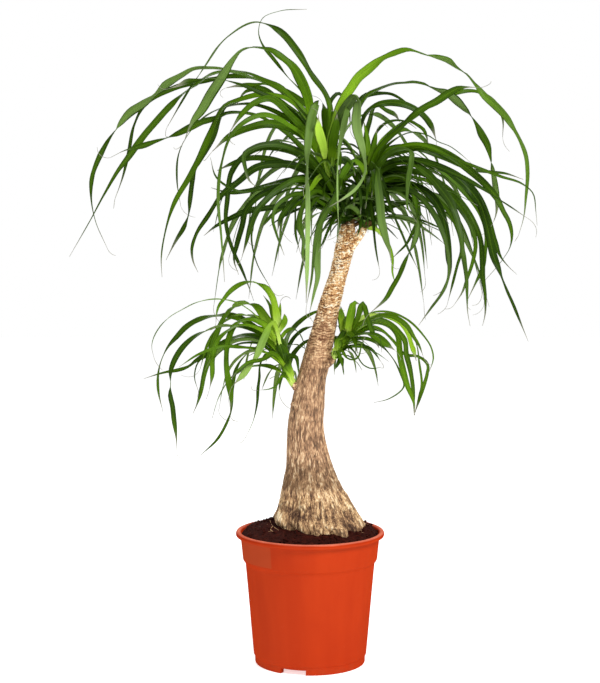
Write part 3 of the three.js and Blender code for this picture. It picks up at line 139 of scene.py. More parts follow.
# Leaves read from the photo: head, place up it, depth and full width. Then each point's place across
# and height as they look from EYE, and how wide the leaf looks there.
SEEN_TABLE = """
main 0.95 20 13  24 838 4, 0 873 5, -20 905 10, -45 933 9, -75 946 5, -120 925 -4, -155 880 -4
-180 843 3, -209 794 2
main 0.9 -30 7  -12 845 2, -38 873 2, -49 887 5, -58 898 6.5, -69 912 2, -75 930 2, -70 950 2
-45 961 1.5, -5 964 1.5
main 1 -60 15  8 795 12, 1 816 13, -5 841 16, -16 866 17, -25 881 12.5, -35 890 9, -47 899 11.5
-58 906 8.5, -67 908 5, -86 910 2, -94 908 -3, -102 904 -5, -109 896 -8, -128 867 -15, -146 840 -16
-159 818 -14, -171 803 -10, -180 785 -3.5, -184 774 2
main 0.9 40 14  -17 826 7, -40 849 8, -63 860 7, -88 872 3.5, -113 877 3, -145 880 2, -172 878 -5
-188 869 -10.5, -211 855 -15, -228 840 -6, -246 826 -13, -262 816 -14, -276 801 -9, -284 791 -2
-301 765 5, -310 747 10, -318 727 8.5, -321 690 4, -316 660 2.5, -298 617 1.5
main 0.85 90 12  -30 838 7, -60 856 6, -90 869 4, -123 875 3, -145 871 5, -166 856 6, -179 848 3
-193 836 6, -211 818 11, -229 798 12, -242 783 11, -254 767 11.5, -267 749 10, -279 734 7, -301 698 4
-322 660 1.5, -354 605 1.2
main 0.8 -90 11  -30 825 7, -69 842 5, -106 857 2, -148 865 2, -164 862 6, -180 860 11, -193 854 7
-205 850 1.5
main 0.85 190 12  -20 838 8, -50 853 6, -68 857 4, -81 855 8, -94 855 9.5, -106 854 8, -122 851 3
main 0.75 -90 13  -5 785 9, -30 812 11, -60 836 11, -85 827 9, -100 813 8, -117 788 3
main 0.8 60 12  -8 790 8, -35 822 10, -80 850 9, -95 845 5, -108 826 3
main 0.85 -40 14  -10 815 8, -35 836 8, -65 842 7, -100 835 6, -125 825 10, -140 800 9, -155 765 10
-175 725 8, -200 682 5, -212 645 4, -219 600 3, -218 575 1.5
main 0.75 60 15  -20 810 8, -68 842 6, -108 832 7, -124 825 9, -132 812 11, -146 778 16, -155 761 14
-162 747 10, -168 734 3.5, -172 718 8, -176 690 8, -179 665 2, -185 649 8.5, -196 631 7, -212 600 1.5
main 0.65 -20 12  -8 760 9, -46 794 6, -83 813 4.5, -104 816 3.5, -124 814 3.5, -139 807 7
-157 802 10.5, -175 794 11.5, -193 785 9, -209 779 3, -225 774 6, -242 768 9.5, -256 764 7, -269 761 3
-292 750 1.5
main 0.9 120 12  -40 845 9, -100 868 8, -150 862 6, -200 850 7, -245 822 6, -257 797 4, -266 755 6
-275 720 4, -286 690 2
main 0.7 100 9  -30 805 7, -90 828 6, -150 812 4, -192 757 3, -195 715 3, -190 680 1.5
main 0.6 -70 15  -5 778 10, -30 793 13, -60 799 14, -90 793 12, -120 780 9, -143 759 3
main 0.5 -110 12  -8 755 9, -25 763 10, -50 769 10, -80 765 9, -97 753 8, -95 735 6, -88 715 5
-80 708 2
main 0.4 70 12  -2 727 9, -25 737 10, -55 747 10, -90 749 9, -115 741 7, -136 731 3
main 0.45 -50 14  -8 735 9, -45 741 11, -80 735 11, -105 715 11, -130 695 9, -150 665 9, -168 637 4
-174 615 5, -172 598 4, -165 582 1.5
main 0.35 100 11  -5 720 9, -35 716 10, -65 708 9, -95 701 8, -120 699 6, -145 706 2
main 0.35 -70 13  0 722 9, -60 702 10, -80 690 10, -95 672 11, -100 650 9, -108 622 8, -112 600 4
-105 578 1.5
main 0.3 -100 12  -20 718 9, -45 705 10, -65 688 10, -80 670 9, -88 650 8, -93 630 6, -101 602 1.5
main 0.15 60 10  -8 683 8, -35 680 9, -55 667 7, -75 643 2
main 0.2 -60 11  -12 698 8, -35 674 10, -44 660 8, -48 642 2
main 0.3 -120 9  -30 694 7, -52 675 6, -55 660 5, -50 640 4, -38 607 1.5
main 0.2 40 11  -5 690 8, -40 680 9, -98 670 10, -120 660 8, -140 649 5, -156 636 2
main 0.9 -150 14  22 736 8.5, 14 756 16.5, 7 777 16.5, 4 799 11, 8 829 8.5, 5 819 14, 1 805 14
-2 785 13, -4 766 11.5, -5 750 5.5, -5 735 2, -5 722 5.5, -4 699 7.5, -4 620 7, -5 570 5.5, -6 537 2
main 0.75 -90 15  23 739 4, 22 751 7.5, 19 766 13, 15 779 15, 12 793 12, 12 811 1
main 0.3 -80 7  -20 715 6, -60 710 4, -100 700 4, -120 707 4, -138 722 3, -146 750 1.5
right 0.7 -130 13  76 736 6.5, 67 744 7.5, 61 745 3.5, 54 736 10, 48 726 10.5, 43 716 7.5, 42 707 4.5
38 696 8.5, 32 684 9.5, 17 658 8, 9 632 7.5, 5 605 5, 3 580 3.5, -5 535 1.5
main 0.95 -150 15  34 774 10, 37 791 14, 44 809 15, 54 825 16.5, 66 839 7.5, 68 828 12.5, 67 803 15
69 787 14.5, 75 768 11, 80 745 5.5, 81 734 4, 77 720 4.5, 69 707 5, 48 690 4.5, 28 678 1.5
main 0.85 20 13  28 744 10, 26 766 11.5, 23 796 12.5, 21 818 11.5, 18 829 2.5
main 0.9 -60 14  31 744 14, 32 759 15, 34 779 16, 38 800 11.5, 39 813 2
main 0.9 90 10  30 800 6, 31 834 6, 41 843 5, 50 836 5, 57 815 4, 58 790 2
main 0.75 -70 10  28 727 9, 14 722 9, 2 706 7, -8 690 5, -14 668 2
main 0.7 -160 9  -20 790 8, -70 812 8, -110 790 6, -130 740 5, -135 688 5, -131 640 4, -128 600 3
-126 568 1.5
main 0.5 30 11  -30 760 9, -80 762 9, -112 735 8, -122 684 8, -124 662 5, -120 634 5, -112 611 6
-100 585 5, -92 565 3, -83 540 1.5
main 0.25 -120 12  6 700 9, -12 676 9, -16 650 11, -10 630 6, -11 605 5, -7 586 1.5
main 0.2 -60 8  0 698 7, -20 682 5, -22 660 4, -21 636 4, -15 612 1.5
main 0.2 -80 14  30 684 8, 17 662 9, 11 630 12, 10 600 12, 11 575 8, 6 553 5, -1 522 1.5
main 0.1 -50 9  40 668 7, 29 651 4, 18 620 1.5
main 0.2 -100 5  -20 705 4, -60 690 4, -86 640 3, -80 600 2, -56 555 1.2
main 1 -30 15  33 800 7, 39 821 7, 47 835 10, 56 846 15, 72 868 15.5, 82 876 15.5, 92 884 13.5
100 890 10.5, 108 895 8, 120 900 10.5, 135 905 9, 142 906 6, 151 905 2.5, 167 900 2.5, 184 896 -8
202 890 -10.5, 213 881 -4.5, 227 872 2.5, 241 855 4.5, 253 840 10.5, 270 825 12.5, 287 807 10.5
298 790 4.5, 306 776 4, 315 754 6.5, 318 729 6.5, 316 692 4.5, 313 662 2.5, 306 637 1.5
right 0.9 60 13  72 825 9, 86 843 8, 96 848 6, 110 854 4, 124 858 3.5, 138 859 3, 151 860 4
166 857 3.5, 183 849 -5, 200 843 -12, 214 832 -14, 226 820 -9, 233 813 -2, 241 801 5, 250 784 12.5
259 768 11, 264 748 3.5, 267 732 -7, 271 709 -10, 274 684 -8.5, 272 665 -4, 265 648 1.5
right 0.6 -60 13  100 762 8, 120 783 8, 138 800 7, 150 812 8, 165 822 10, 185 832 12, 200 842 12
215 850 9, 228 852 4, 245 851 1.5
right 0.8 30 14  74 795 8, 82 815 8, 94 825 9, 110 829 11, 128 829 12, 145 824 11, 158 817 10
168 808 10, 177 795 10, 184 775 2
right 0.8 120 11  86 800 8, 97 826 6, 112 818 8, 124 812 9, 131 801 2
right 0.9 90 11  70 805 8, 72 834 8, 84 841 9, 100 843 8, 118 842 6, 132 835 4, 152 820 2
right 0.6 -40 6  110 765 5, 150 787 4, 172 782 3, 187 773 2, 203 767 1.5, 220 755 1.2, 235 742 1.2
right 0.7 160 10  110 780 8, 150 808 8, 200 840 8, 245 845 7, 270 830 6, 281 805 5, 281 780 2
right 0.6 40 12  110 760 9, 160 763 9, 200 746 8, 225 735 6, 245 731 6, 265 729 5, 285 727 4
312 718 2
right 0.6 -60 8  110 757 7, 150 770 7, 220 745 6, 280 722 4, 310 712 2, 325 700 2, 331 670 1.5
333 651 1.2
right 0.5 -90 11  100 735 8, 130 748 9, 190 735 9, 235 715 7, 260 700 5, 277 689 2, 321 660 1.2
right 0.6 -50 15  95 745 9, 140 762 11, 165 766 11, 191 759 11, 216 745 12, 240 726 13, 262 705 12
274 690 8, 283 672 4, 292 655 2, 296 635 3, 293 617 2, 284 602 2, 258 571 1.2
right 0.5 -80 16  100 735 9, 150 745 10, 195 735 11, 225 712 12, 248 683 14, 258 656 12, 264 630 12
270 605 12, 277 588 7, 282 575 3, 290 555 6, 299 535 5, 309 511 4, 322 480 1.2
right 0.45 -30 12  110 730 9, 160 728 10, 200 705 10, 232 670 8, 250 630 8, 253 600 9, 254 575 8
258 545 5, 257 515 3, 254 503 1.2
right 0.55 20 11  120 745 9, 180 738 9, 225 700 8, 248 668 6, 258 635 5, 257 610 6, 254 590 7
246 572 5, 231 540 2
right 0.45 -120 14  100 730 9, 125 742 9, 150 741 9, 170 728 12, 190 705 13, 205 685 12, 213 668 9
221 638 8, 224 615 6, 227 595 8, 230 573 6, 231 550 4, 232 525 2, 236 503 1.2
right 0.4 -60 13  110 720 9, 160 720 10, 200 700 11, 222 675 12, 236 650 9, 243 625 7, 239 598 6
231 573 5, 224 553 4, 212 534 1.2
right 0.35 -40 14  105 705 9, 140 710 10, 170 700 11, 190 675 13, 198 650 11, 202 625 11, 204 600 10
206 583 6, 204 570 1.5
right 0.4 80 10  115 715 8, 165 705 8, 200 675 7, 218 640 5, 222 612 5, 217 595 5, 212 575 5
202 535 1.2
right 0.3 -150 11  110 700 9, 150 700 9, 180 670 8, 198 630 6, 204 595 4, 202 570 3, 192 548 5
180 532 5, 160 504 1.2
right 0.5 100 14  110 738 9, 170 742 11, 215 725 11, 245 695 11, 262 660 10, 272 625 10, 280 605 4
292 590 2.5, 304 579 1.2
right 0.3 -90 12  105 715 9, 135 722 8, 148 708 5, 153 688 9, 157 665 4, 157 642 -9, 151 622 -6
140 600 3, 131 578 8, 121 560 8, 112 544 7, 101 533 5, 88 522 1.5
right 0.25 -60 8  86 690 8, 92 660 6, 94 636 4, 97 612 3, 102 586 1.2
right 0.6 -130 15  93 738 9, 98 715 12, 102 685 14, 105 655 13, 111 632 10, 117 612 5, 119 598 2
right 0.5 -100 11  98 728 9, 110 700 10, 119 675 8, 127 656 3, 135 638 3, 145 614 3, 159 586 1.2
right 0.6 -140 11  100 740 9, 130 762 8, 147 760 4, 147 740 9, 144 722 9, 142 700 5, 143 676 3
157 655 1.5
right 0.2 50 10  100 705 8, 130 708 8, 155 690 7, 160 668 6, 150 640 6, 140 622 4, 130 612 3
118 600 1.5
right 0.7 120 9  90 765 8, 98 788 6, 110 800 4, 125 804 4, 140 802 3, 155 792 2
right 0.7 -30 10  100 762 8, 125 790 6, 145 803 4, 155 798 5, 165 791 6, 173 768 2
right 1 -10 11  88 745 9, 93 765 9, 97 790 3
right 1 15 11  84 750 8, 84 775 8, 78 802 2
right 0.1 -30 12  89 648 10, 99 644 9, 112 628 7, 121 604 5, 121 582 3, 125 566 1.2
left 1 -20 12  -45 501 12, -49 514 14, -51 527 11, -58 550 10, -65 559 9, -74 564 2, -81 568 -4
-99 566 6, -120 552 7.5, -127 543 6, -135 532 4.5, -138 521 3, -139 507 1
left 0.9 30 15  -61 507 15, -69 519 14, -77 530 11.5, -95 538 -5.5, -108 535 -8.5, -119 526 12
-128 514 12.5, -140 487 11.5, -151 451 8, -157 430 8, -162 404 7, -169 383 3.5, -174 372 1.5
left 0.8 -60 11  -76 500 5, -94 505 4, -108 504 3, -122 496 3, -135 484 4, -144 455 8.5, -145 428 7
-149 409 1.5
left 0.7 60 13  -74 496 6, -90 507 7, -103 514 8, -115 518 6.5, -136 519 2.5, -170 510 7, -185 500 9.5
-197 487 8.5, -208 475 6, -217 460 3, -225 428 5, -225 410 4.5, -218 375 1.5
left 0.9 -50 7  -72 510 4.5, -90 528 3, -108 538 2.5, -144 543 3, -165 539 3, -188 528 2.5
-208 516 1.5, -221 503 1.5, -234 471 1, -231 457 1
left 0.6 -20 13  -74 493 7, -90 500 7, -108 503 6, -126 504 4, -162 493 5, -180 480 5.5, -201 451 7
-206 437 6, -207 417 2, -207 399 9, -204 385 10, -202 366 9, -198 330 3, -198 316 1.5
left 0.5 70 14  -72 485 5, -87 489 5, -104 489 5, -115 485 4, -126 478 11, -137 471 13.5
-147 464 11.5, -160 457 8.5, -171 450 3.5, -178 444 1.5, -198 437 5.5, -212 435 3.5, -246 425 1
left 0.4 -90 9  -79 469 3, -94 471 2.5, -108 472 4.5, -122 473 3, -151 467 5, -165 461 4, -194 442 1.5
left 0.4 60 6  -79 478 3, -99 478 2, -126 469 2, -151 460 2, -164 451 2, -171 428 2, -165 405 1
left 0.7 -50 12  -74 509 9, -90 513 6.5, -103 510 6, -112 503 10.5, -118 491 10, -124 455 8
-123 435 9, -120 417 11.5, -117 397 7.5, -119 372 1
left 0.7 -80 10  -56 507 9, -68 485 12.5, -74 471 12.5, -79 459 9, -84 451 4, -90 443 9, -99 431 10.5
-114 415 1.5
left 0.4 -95 10  -58 462 5, -67 455 5, -76 452 6.5, -90 449 6.5, -103 440 5, -117 425 1
left 0.35 -60 9  -65 460 4, -72 452 4, -75 442 5, -75 428 7, -77 410 6, -78 392 3, -85 361 1
-96 337 1
left 0.5 40 9  -67 478 6, -83 471 5, -99 457 4, -110 437 4, -115 413 4, -118 374 2.5, -125 356 5
-135 338 5, -168 306 1
left 0.9 60 8  -52 505 5, -57 522 5, -60 535 5, -69 548 1.5
left 1 -10 10  -43 500 8, -37 513 9, -38 521 2
left 0.6 120 11  -32 490 7, -17 508 8, -2 519 6, 14 525 4, 32 521 2
left 0.4 95 9  -31 474 6, -20 490 6, -8 499 6, 6 503 2
left 0.3 75 9  -27 458 6, -16 472 7, -4 481 5, 8 484 2
left 0.4 -45 8  -30 458 7, -21 457 7, -18 444 4, -17 430 1.2
left 0.1 -20 7  -40 432 6, -44 420 4, -46 406 1.5
left 0.1 -45 5  -42 428 4, -52 413 2, -62 409 2, -73 408 1.2
left 1 5 10  -49 505 9, -45 522 6, -44 538 1.5
low 1 -30 14  53 490 11, 58 499 13, 77 513 13.5, 87 517 10.5, 96 519 7, 120 514 5.5, 132 507 5.5
146 488 7, 149 477 7, 153 466 8.5, 157 451 1
low 0.9 -60 13  64 500 9.5, 75 507 6.5, 87 512 5.5, 109 519 5.5, 120 518 6.5, 132 512 6, 142 504 5.5
154 485 4, 161 474 4.5, 167 458 1
low 0.8 -20 13  58 491 8, 70 500 5.5, 84 507 4.5, 98 508 4, 120 500 4.5, 128 490 4, 132 468 6.5
133 457 9, 136 443 10.5, 144 414 9, 154 387 4.5, 155 370 1.5
low 0.7 40 13  64 495 6.5, 81 504 4.5, 98 511 4, 112 508 4, 133 492 5.5, 139 483 8, 142 460 6.5
146 446 7, 152 412 7, 154 369 1.5
low 0.8 60 11  70 502 6.5, 84 514 5, 105 521 4, 126 515 3, 147 494 3, 156 480 2.5, 161 449 3
165 412 4.5, 163 399 6.5, 155 373 2.5
low 0.6 -90 9  56 483 6.5, 64 488 4, 75 491 3, 89 491 2.5, 102 487 1.5, 106 464 1
low 1 -10 8  64 508 4.5, 81 519 4, 95 524 3.5, 123 522 3, 139 515 2.5, 168 488 2.5, 178 473 2.5
182 457 2.5, 175 432 1
low 0.5 90 11  64 488 6.5, 84 500 4.5, 105 497 4, 121 483 3.5, 142 460 4, 159 458 3.5, 174 444 4.5
173 432 5.5, 164 403 7.5, 154 370 1.5
low 1 40 11  50 490 6.5, 51 502 8, 48 517 7.5, 46 525 6.5, 45 532 1.5
low 1 -20 13  53 491 9.5, 57 505 12.5, 60 519 14, 62 529 12.5, 64 536 9.5, 70 538 4.5, 72 536 1.5
low 0.9 -50 11  61 500 6.5, 70 515 7, 74 529 8, 77 536 8, 80 531 9, 84 517 8.5, 93 491 8, 97 480 7
102 470 1.5
low 0.5 -70 14  53 480 6.5, 64 488 4, 78 492 3.5, 88 492 6.5, 96 488 13, 106 481 14, 116 474 9
125 467 1.5
low 0.3 -40 9  53 471 4, 60 474 3.5, 70 476 4, 81 474 4.5, 91 468 5.5, 104 451 1.5
low 0.6 -35 9  60 490 6.5, 66 495 7, 68 487 7, 67 477 5.5, 70 462 1
low 0.2 -90 5  47 466 3, 54 456 2.5, 63 453 2.5, 70 456 2.5, 77 478 2, 81 487 1.5
low 0.3 -60 5  56 473 2.5, 64 466 2, 71 456 2, 78 446 2, 90 440 2, 105 442 1
low 0.4 110 8  56 480 5.5, 78 485 4.5, 101 477 4, 121 457 4, 133 434 3, 139 414 2.5, 117 395 1.5
94 389 1
low 0.1 -30 8  44 455 6, 41 447 6, 37 439 2
low 0.1 -10 7  47 455 5, 48 444 4, 50 430 1.5
low 1 45 8  48 500 6, 44 508 6, 41 517 2
main 0.8 -110 9  36 779 8.5, 45 806 7.5, 55 827 6.5, 49 796 10, 43 766 5, 41 745 2, 40 692 2.5
42 643 1
"""
# Leaves by rule: head, count, compass from and to, lengths, slopes from and to, and droop.
FILL = [
    ["main", 7, 86, 156, [310, 430], [42, 74], -72],
    ["main", 4, 36, 64, [310, 430], [42, 74], -72],
    ["main", 3, -150, -60, [140, 190], [56, 78], -40],
    ["right", 6, 22, 76, [300, 420], [40, 72], -74],
    ["right", 4, 110, 146, [300, 420], [40, 72], -74],
    ["right", 3, -130, -40, [130, 180], [54, 76], -44],
    ["left", 6, 98, 194, [140, 210], [40, 70], -74],
    ["low", 5, 34, 136, [120, 180], [42, 70], -72],
    ["low", 2, -112, -28, [64, 90], [44, 64], -50],
]
FILL_WIDTH, FILL_STEPS, FILL_CURL, FILL_TWIST = [10, 14], 5, 26, 55
FILL_FROM, FILL_REACH = 0.12, 0.83
GOLDEN = 0.618034
SEED = 74074
# A leaf's widths: the least, the share of what is seen, how it tapers, and its root's and tip's shares.
TIP_WIDTH, SLIM, TAPER, ROOT_SHARE, TIP_SHARE = 1.2, 0.9, 2.6, 0.4, 0.07
# How clear leaves stay of what isn't theirs, from how far up them, and the steps in which they move.
CLEAR, ROOT_FREE, TRY_DEPTH, TRY_TURN, TRIES = 1.2, 34, 11, 6, 25
EYE = np.array([-15.0, -2400.0, 680.0])


def read_rows(table):
    """A table's rows of a name and numbers. A row ends where the next name starts."""
    rows = []
    for word in table.replace(",", " ").split():
        if word.isalpha():
            rows.append([word])
        else:
            rows[-1].append(float(word))
    return rows


SEEN = read_rows(SEEN_TABLE)


# Pseudo-random numbers and patterns.
DRAW_STEP, DRAW_END = 16807, 2147483647
HASH_SEED, HASH_START, HASH_MIX, HASH_LAST = 2654435761, 97, 2246822519, 3266489917
OCTAVE, OCTAVE_SEED, CELL_EDGE = 2.03, 31, 0.12


class Draw:
    """The same seeded numbers as part.mjs draws."""

    def __init__(self, seed):
        self.state = seed

    def __call__(self, low, high):
        self.state = (self.state * DRAW_STEP) % DRAW_END
        return low + ((high - low) * self.state) / DRAW_END


def hashed(*whole, seed):
    """A fixed number from 0 to 1 for whole-number places."""
    h = np.full(np.broadcast(*whole).shape, (seed * HASH_SEED + HASH_START) % 2**32, np.uint32)
    for w in whole:
        h = (h ^ (np.asarray(w, np.int64) & 0xFFFFFFFF).astype(np.uint32)) * np.uint32(HASH_MIX)
        h ^= h >> np.uint32(15)
    h = h * np.uint32(HASH_LAST)
    h ^= h >> np.uint32(16)
    return h.astype(float) / 2**32


def noise(p, seed):
    """Smooth noise from 0 to 1 over three coordinates."""
    cell = np.floor(p).astype(np.int64)
    f = p - cell
    f = f * f * f * (f * (f * 6 - 15) + 10)
    total = np.zeros(p.shape[:-1])
    for corner in itertools.product((0, 1), repeat=3):
        near = [np.abs(1 - d - f[..., k]) for k, d in enumerate(corner)]
        places = [cell[..., k] + d for k, d in enumerate(corner)]
        total += near[0] * near[1] * near[2] * hashed(*places, seed=seed)
    return total


def layered(p, octaves, seed):
    """Noise of some octaves, each finer and half as strong as the one before."""
    total, weight, sum_weight = 0.0, 1.0, 0.0
    for k in range(octaves):
        total = total + weight * noise(p * OCTAVE**k, seed + OCTAVE_SEED * k)
        sum_weight += weight
        weight *= 0.5
    return total / sum_weight


def cells(u, v, around, seed):
    """How far each place is from its cell's edge, from 0 up, a fixed number for the cell, and how far
    below the cell's middle the place is. u wraps round after `around` cells."""
    cu, cv = np.floor(u).astype(np.int64), np.floor(v).astype(np.int64)
    first, second = np.full(u.shape, 9.0), np.full(u.shape, 9.0)
    tag, fall = np.zeros(u.shape), np.zeros(u.shape)
    for du in (-1, 0, 1):
        for dv in (-1, 0, 1):
            iu, iv = cu + du, cv + dv
            wrapped = iu % around
            ju = iu + CELL_EDGE + (1 - 2 * CELL_EDGE) * hashed(wrapped, iv, seed=seed)
            jv = iv + CELL_EDGE + (1 - 2 * CELL_EDGE) * hashed(wrapped, iv, seed=seed + 1)
            far = np.hypot(u - ju, v - jv)
            nearer = far < first
            second = np.where(nearer, first, np.minimum(second, far))
            tag = np.where(nearer, hashed(wrapped, iv, seed=seed + 2), tag)
            fall = np.where(nearer, jv - v, fall)
            first = np.where(nearer, far, first)
    return second - first, tag, fall


def step(low, high, x):
    """A smooth step from 0 to 1 as x goes from low to high."""
    t = np.clip((x - low) / (high - low), 0, 1)
    return t * t * (3 - 2 * t)


def unit(v):
    return v / np.linalg.norm(v, axis=-1, keepdims=True)


def smooth(at, knots, values):
    """Values at places along knots, on a smooth curve through them all."""
    gaps = np.diff(knots)
    slopes = np.diff(values, axis=0) / gaps[:, None]
    way = np.empty_like(values)
    way[0], way[-1] = slopes[0], slopes[-1]
    share = (gaps[:-1] / (gaps[:-1] + gaps[1:]))[:, None]
    way[1:-1] = slopes[:-1] * (1 - share) + slopes[1:] * share
    i = np.clip(np.searchsorted(knots, at, side="right") - 1, 0, len(knots) - 2)
    h = gaps[i][:, None]
    t = ((at - knots[i]) / gaps[i])[:, None]
    return (
        (1 + 2 * t) * (1 - t) ** 2 * values[i]
        + t * (1 - t) ** 2 * h * way[i]
        + t * t * (3 - 2 * t) * values[i + 1]
        + t * t * (t - 1) * h * way[i + 1]
    )


# Meshes.
def mesh_piece(name, points, faces, material, numbers=None, face_numbers=None):
    """A piece from points in millimetres and arrays of triangles or quads."""
    mesh = bpy.data.meshes.new(name)
    mesh.vertices.add(len(points))
    mesh.vertices.foreach_set("co", (np.asarray(points) * MM).astype(np.float32).ravel())
    corners = np.concatenate([f.ravel() for f in faces]).astype(np.int32)
    counts = np.concatenate([np.full(len(f), f.shape[1]) for f in faces])
    starts = np.concatenate([[0], np.cumsum(counts)[:-1]]).astype(np.int32)
    mesh.loops.add(len(corners))
    mesh.loops.foreach_set("vertex_index", corners)
    mesh.polygons.add(len(counts))
    mesh.polygons.foreach_set("loop_start", starts)
    mesh.update(calc_edges=True)
    mesh.validate()
    mesh.polygons.foreach_set("use_smooth", np.ones(len(mesh.polygons), bool))
    for key, values in (numbers or {}).items():
        data = mesh.attributes.new(key, "FLOAT_VECTOR", "POINT").data
        data.foreach_set("vector", np.asarray(values, np.float32).ravel())
    for key, values in (face_numbers or {}).items():
        data = mesh.attributes.new(key, "FLOAT", "FACE").data
        data.foreach_set("value", np.asarray(values, np.float32))
    mesh.materials.append(material)
    piece = bpy.data.objects.new(name, mesh)
    bpy.context.scene.collection.objects.link(piece)
    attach(piece, "root")
    return piece


def circle(columns):
    return np.arange(columns) * 2 * math.pi / columns


def grid_faces(rows, columns, first=0):
    """Quads between rows of points, with the columns going round."""
    i = np.arange(columns)
    j = (i + 1) % columns
    k = np.arange(rows - 1)[:, None] * columns
    return (first + np.stack([k + i, k + j, k + columns + j, k + columns + i], -1)).reshape(-1, 4)


def fan(centre, ring, flip):
    """Triangles from a centre point to a ring of points."""
    after = np.roll(ring, -1)
    c = np.full(len(ring), centre)
    return np.stack([c, after, ring] if flip else [c, ring, after], -1)


def closed_faces(rows, columns, first=0, flip=False):
    """The faces of rings of points that are closed by two end points, which come after the rings."""
    ring, low = first + np.arange(columns), first + rows * columns
    quads = grid_faces(rows, columns, first)
    fans = [fan(low, ring, not flip), fan(low + 1, ring + (rows - 1) * columns, flip)]
    return quads[:, ::-1] if flip else quads, np.vstack(fans)


def directions(middle, beside, columns):
    """The ways out from each point of a line, all round it."""
    way = tangents(middle)
    u = unit(np.cross(way, beside))
    v = np.cross(way, u)
    a = circle(columns)
    return u[:, None] * np.cos(a)[None, :, None] + v[:, None] * np.sin(a)[None, :, None]


def tube(line, rows, columns):
    """A line of points and radii made finer: how far along each row is, its middle, its radius, the
    ways out from it, and the turn and the distance along at each point."""
    line = np.array(line, float)
    run = runs(line[:, :3])
    at = np.linspace(0, run[-1], rows)
    flow = smooth(at, run, line)
    turn, spot = np.meshgrid(circle(columns), at)
    return at, flow[:, :3], flow[:, 3], directions(flow[:, :3], [0, 1, 0], columns), turn, spot


# Materials.
def tint(code):
    """A linear colour from the usual six digits."""
    parts = [int(code[i : i + 2], 16) / 255 for i in (0, 2, 4)]
    return tuple(c / 12.92 if c <= 0.04045 else ((c + 0.055) / 1.055) ** 2.4 for c in parts) + (1.0,)


class Value:
    """A node's output, which can be added, taken away and multiplied like a number."""

    def __init__(self, nodes, socket):
        self.nodes, self.socket = nodes, socket

    def __add__(self, other):
        return self.nodes.sum("ADD", self, other)

    def __sub__(self, other):
        return self.nodes.sum("SUBTRACT", self, other)

    def __mul__(self, other):
        return self.nodes.sum("MULTIPLY", self, other)

    def __abs__(self):
        return self.nodes.sum("ABSOLUTE", self)


class Nodes:
    """Short names for building one material's nodes. A text as an input is a colour code."""

    def __init__(self, name):
        self.material = bpy.data.materials.new(name)
        self.material.use_nodes = True
        self.tree = self.material.node_tree
        self.tree.nodes.clear()

    def add(self, kind, values, out=0, **settings):
        """One of the outputs of a new node."""
        made = self.tree.nodes.new("ShaderNode" + kind)
        for key, value in settings.items():
            setattr(made, key, value)
        for key, value in values.items():
            if isinstance(value, Value):
                self.tree.links.new(value.socket, made.inputs[key])
            else:
                made.inputs[key].default_value = tint(value) if isinstance(value, str) else value
        return Value(self, made.outputs[out])

    def sum(self, kind, *numbers):
        return self.add("Math", dict(enumerate(numbers)), operation=kind)

    def clamped(self, value):
        return self.add("Clamp", {"Value": value})

    def mix(self, share, a, b, blend="MIX"):
        return self.add("Mix", {0: share, 6: a, 7: b}, 2, data_type="RGBA", blend_type=blend)

    def shaded(self, colour, amount):
        """A colour times a number."""
        return self.mix(1.0, colour, self.join(amount, amount, amount), "MULTIPLY")

    def ramp(self, share, places, codes):
        made = self.add("ValToRGB", {"Fac": share}, "Color")
        points = made.socket.node.color_ramp.elements
        for k, (at, code) in enumerate(zip(places, codes)):
            point = points[k] if k < 2 else points.new(at)
            point.position = at
            point.color = tint(code)
        return made

    def remap(self, value, low, high, to_low=0.0, to_high=1.0):
        """A smooth step from one number to another as the value goes from low to high."""
        ends = {"From Min": low, "From Max": high, "To Min": to_low, "To Max": to_high}
        return self.add("MapRange", {"Value": value, **ends}, "Result", interpolation_type="SMOOTHSTEP")

    def number(self, name):
        return self.add("Attribute", {}, "Fac", attribute_name=name)

    def three(self, name):
        return self.split(self.add("Attribute", {}, "Vector", attribute_name=name))

    def split(self, vector):
        made = self.add("SeparateXYZ", {"Vector": vector})
        return [Value(self, out) for out in made.socket.node.outputs]

    def join(self, x, y, z):
        return self.add("CombineXYZ", {"X": x, "Y": y, "Z": z})

    def place(self):
        return self.add("TexCoord", {}, "Object")

    def stretched(self, vector, scale):
        return self.add("VectorMath", {0: vector, 1: scale}, operation="MULTIPLY")

    def clouds(self, vector, scale, detail=3.0, rough=0.55):
        values = {"Vector": vector, "Scale": scale, "Detail": detail, "Roughness": rough}
        return self.add("TexNoise", values, "Fac")

    def bump(self, height, depth, strength=1.0):
        return self.add("Bump", {"Height": height, "Distance": depth, "Strength": strength})

    def skin(self, colour, rough, normal, shine):
        values = {"Roughness": rough, "Normal": normal, "Specular IOR Level": shine}
        return self.add("BsdfPrincipled", {"Base Color": colour, **values})

    def blend(self, share, skin, other):
        return self.add("MixShader", {0: share, 1: skin, 2: other})

    def finish(self, shader):
        out = self.tree.nodes.new("ShaderNodeOutputMaterial")
        self.tree.links.new(shader.socket, out.inputs["Surface"])
        return self.material


# Where a leaf's four greens lie by age, how much it shines, and how much light comes through it.
LEAF_STOPS, LEAF_SHINE, LEAF_GLOW = (0.0, 0.3, 0.66, 1.0), 0.08, 0.24
# Along a leaf, from 0 to 1: its young root, where its youth fades, where its grey grows, partly a paler
# underside and partly painted sheen, and where it is dry.
LEAF_ROOT, LEAF_FADE, LEAF_UNDER_AND_SHEEN, LEAF_DRY = (0.0, 0.24), (0.08, 0.6), (0.3, 0.8), (0.9, 0.99)
# Across it, from 0 in its middle to 1: its midrib and its edge.
LEAF_RIB, LEAF_EDGE = (0.02, 0.14), (0.75, 1.0)


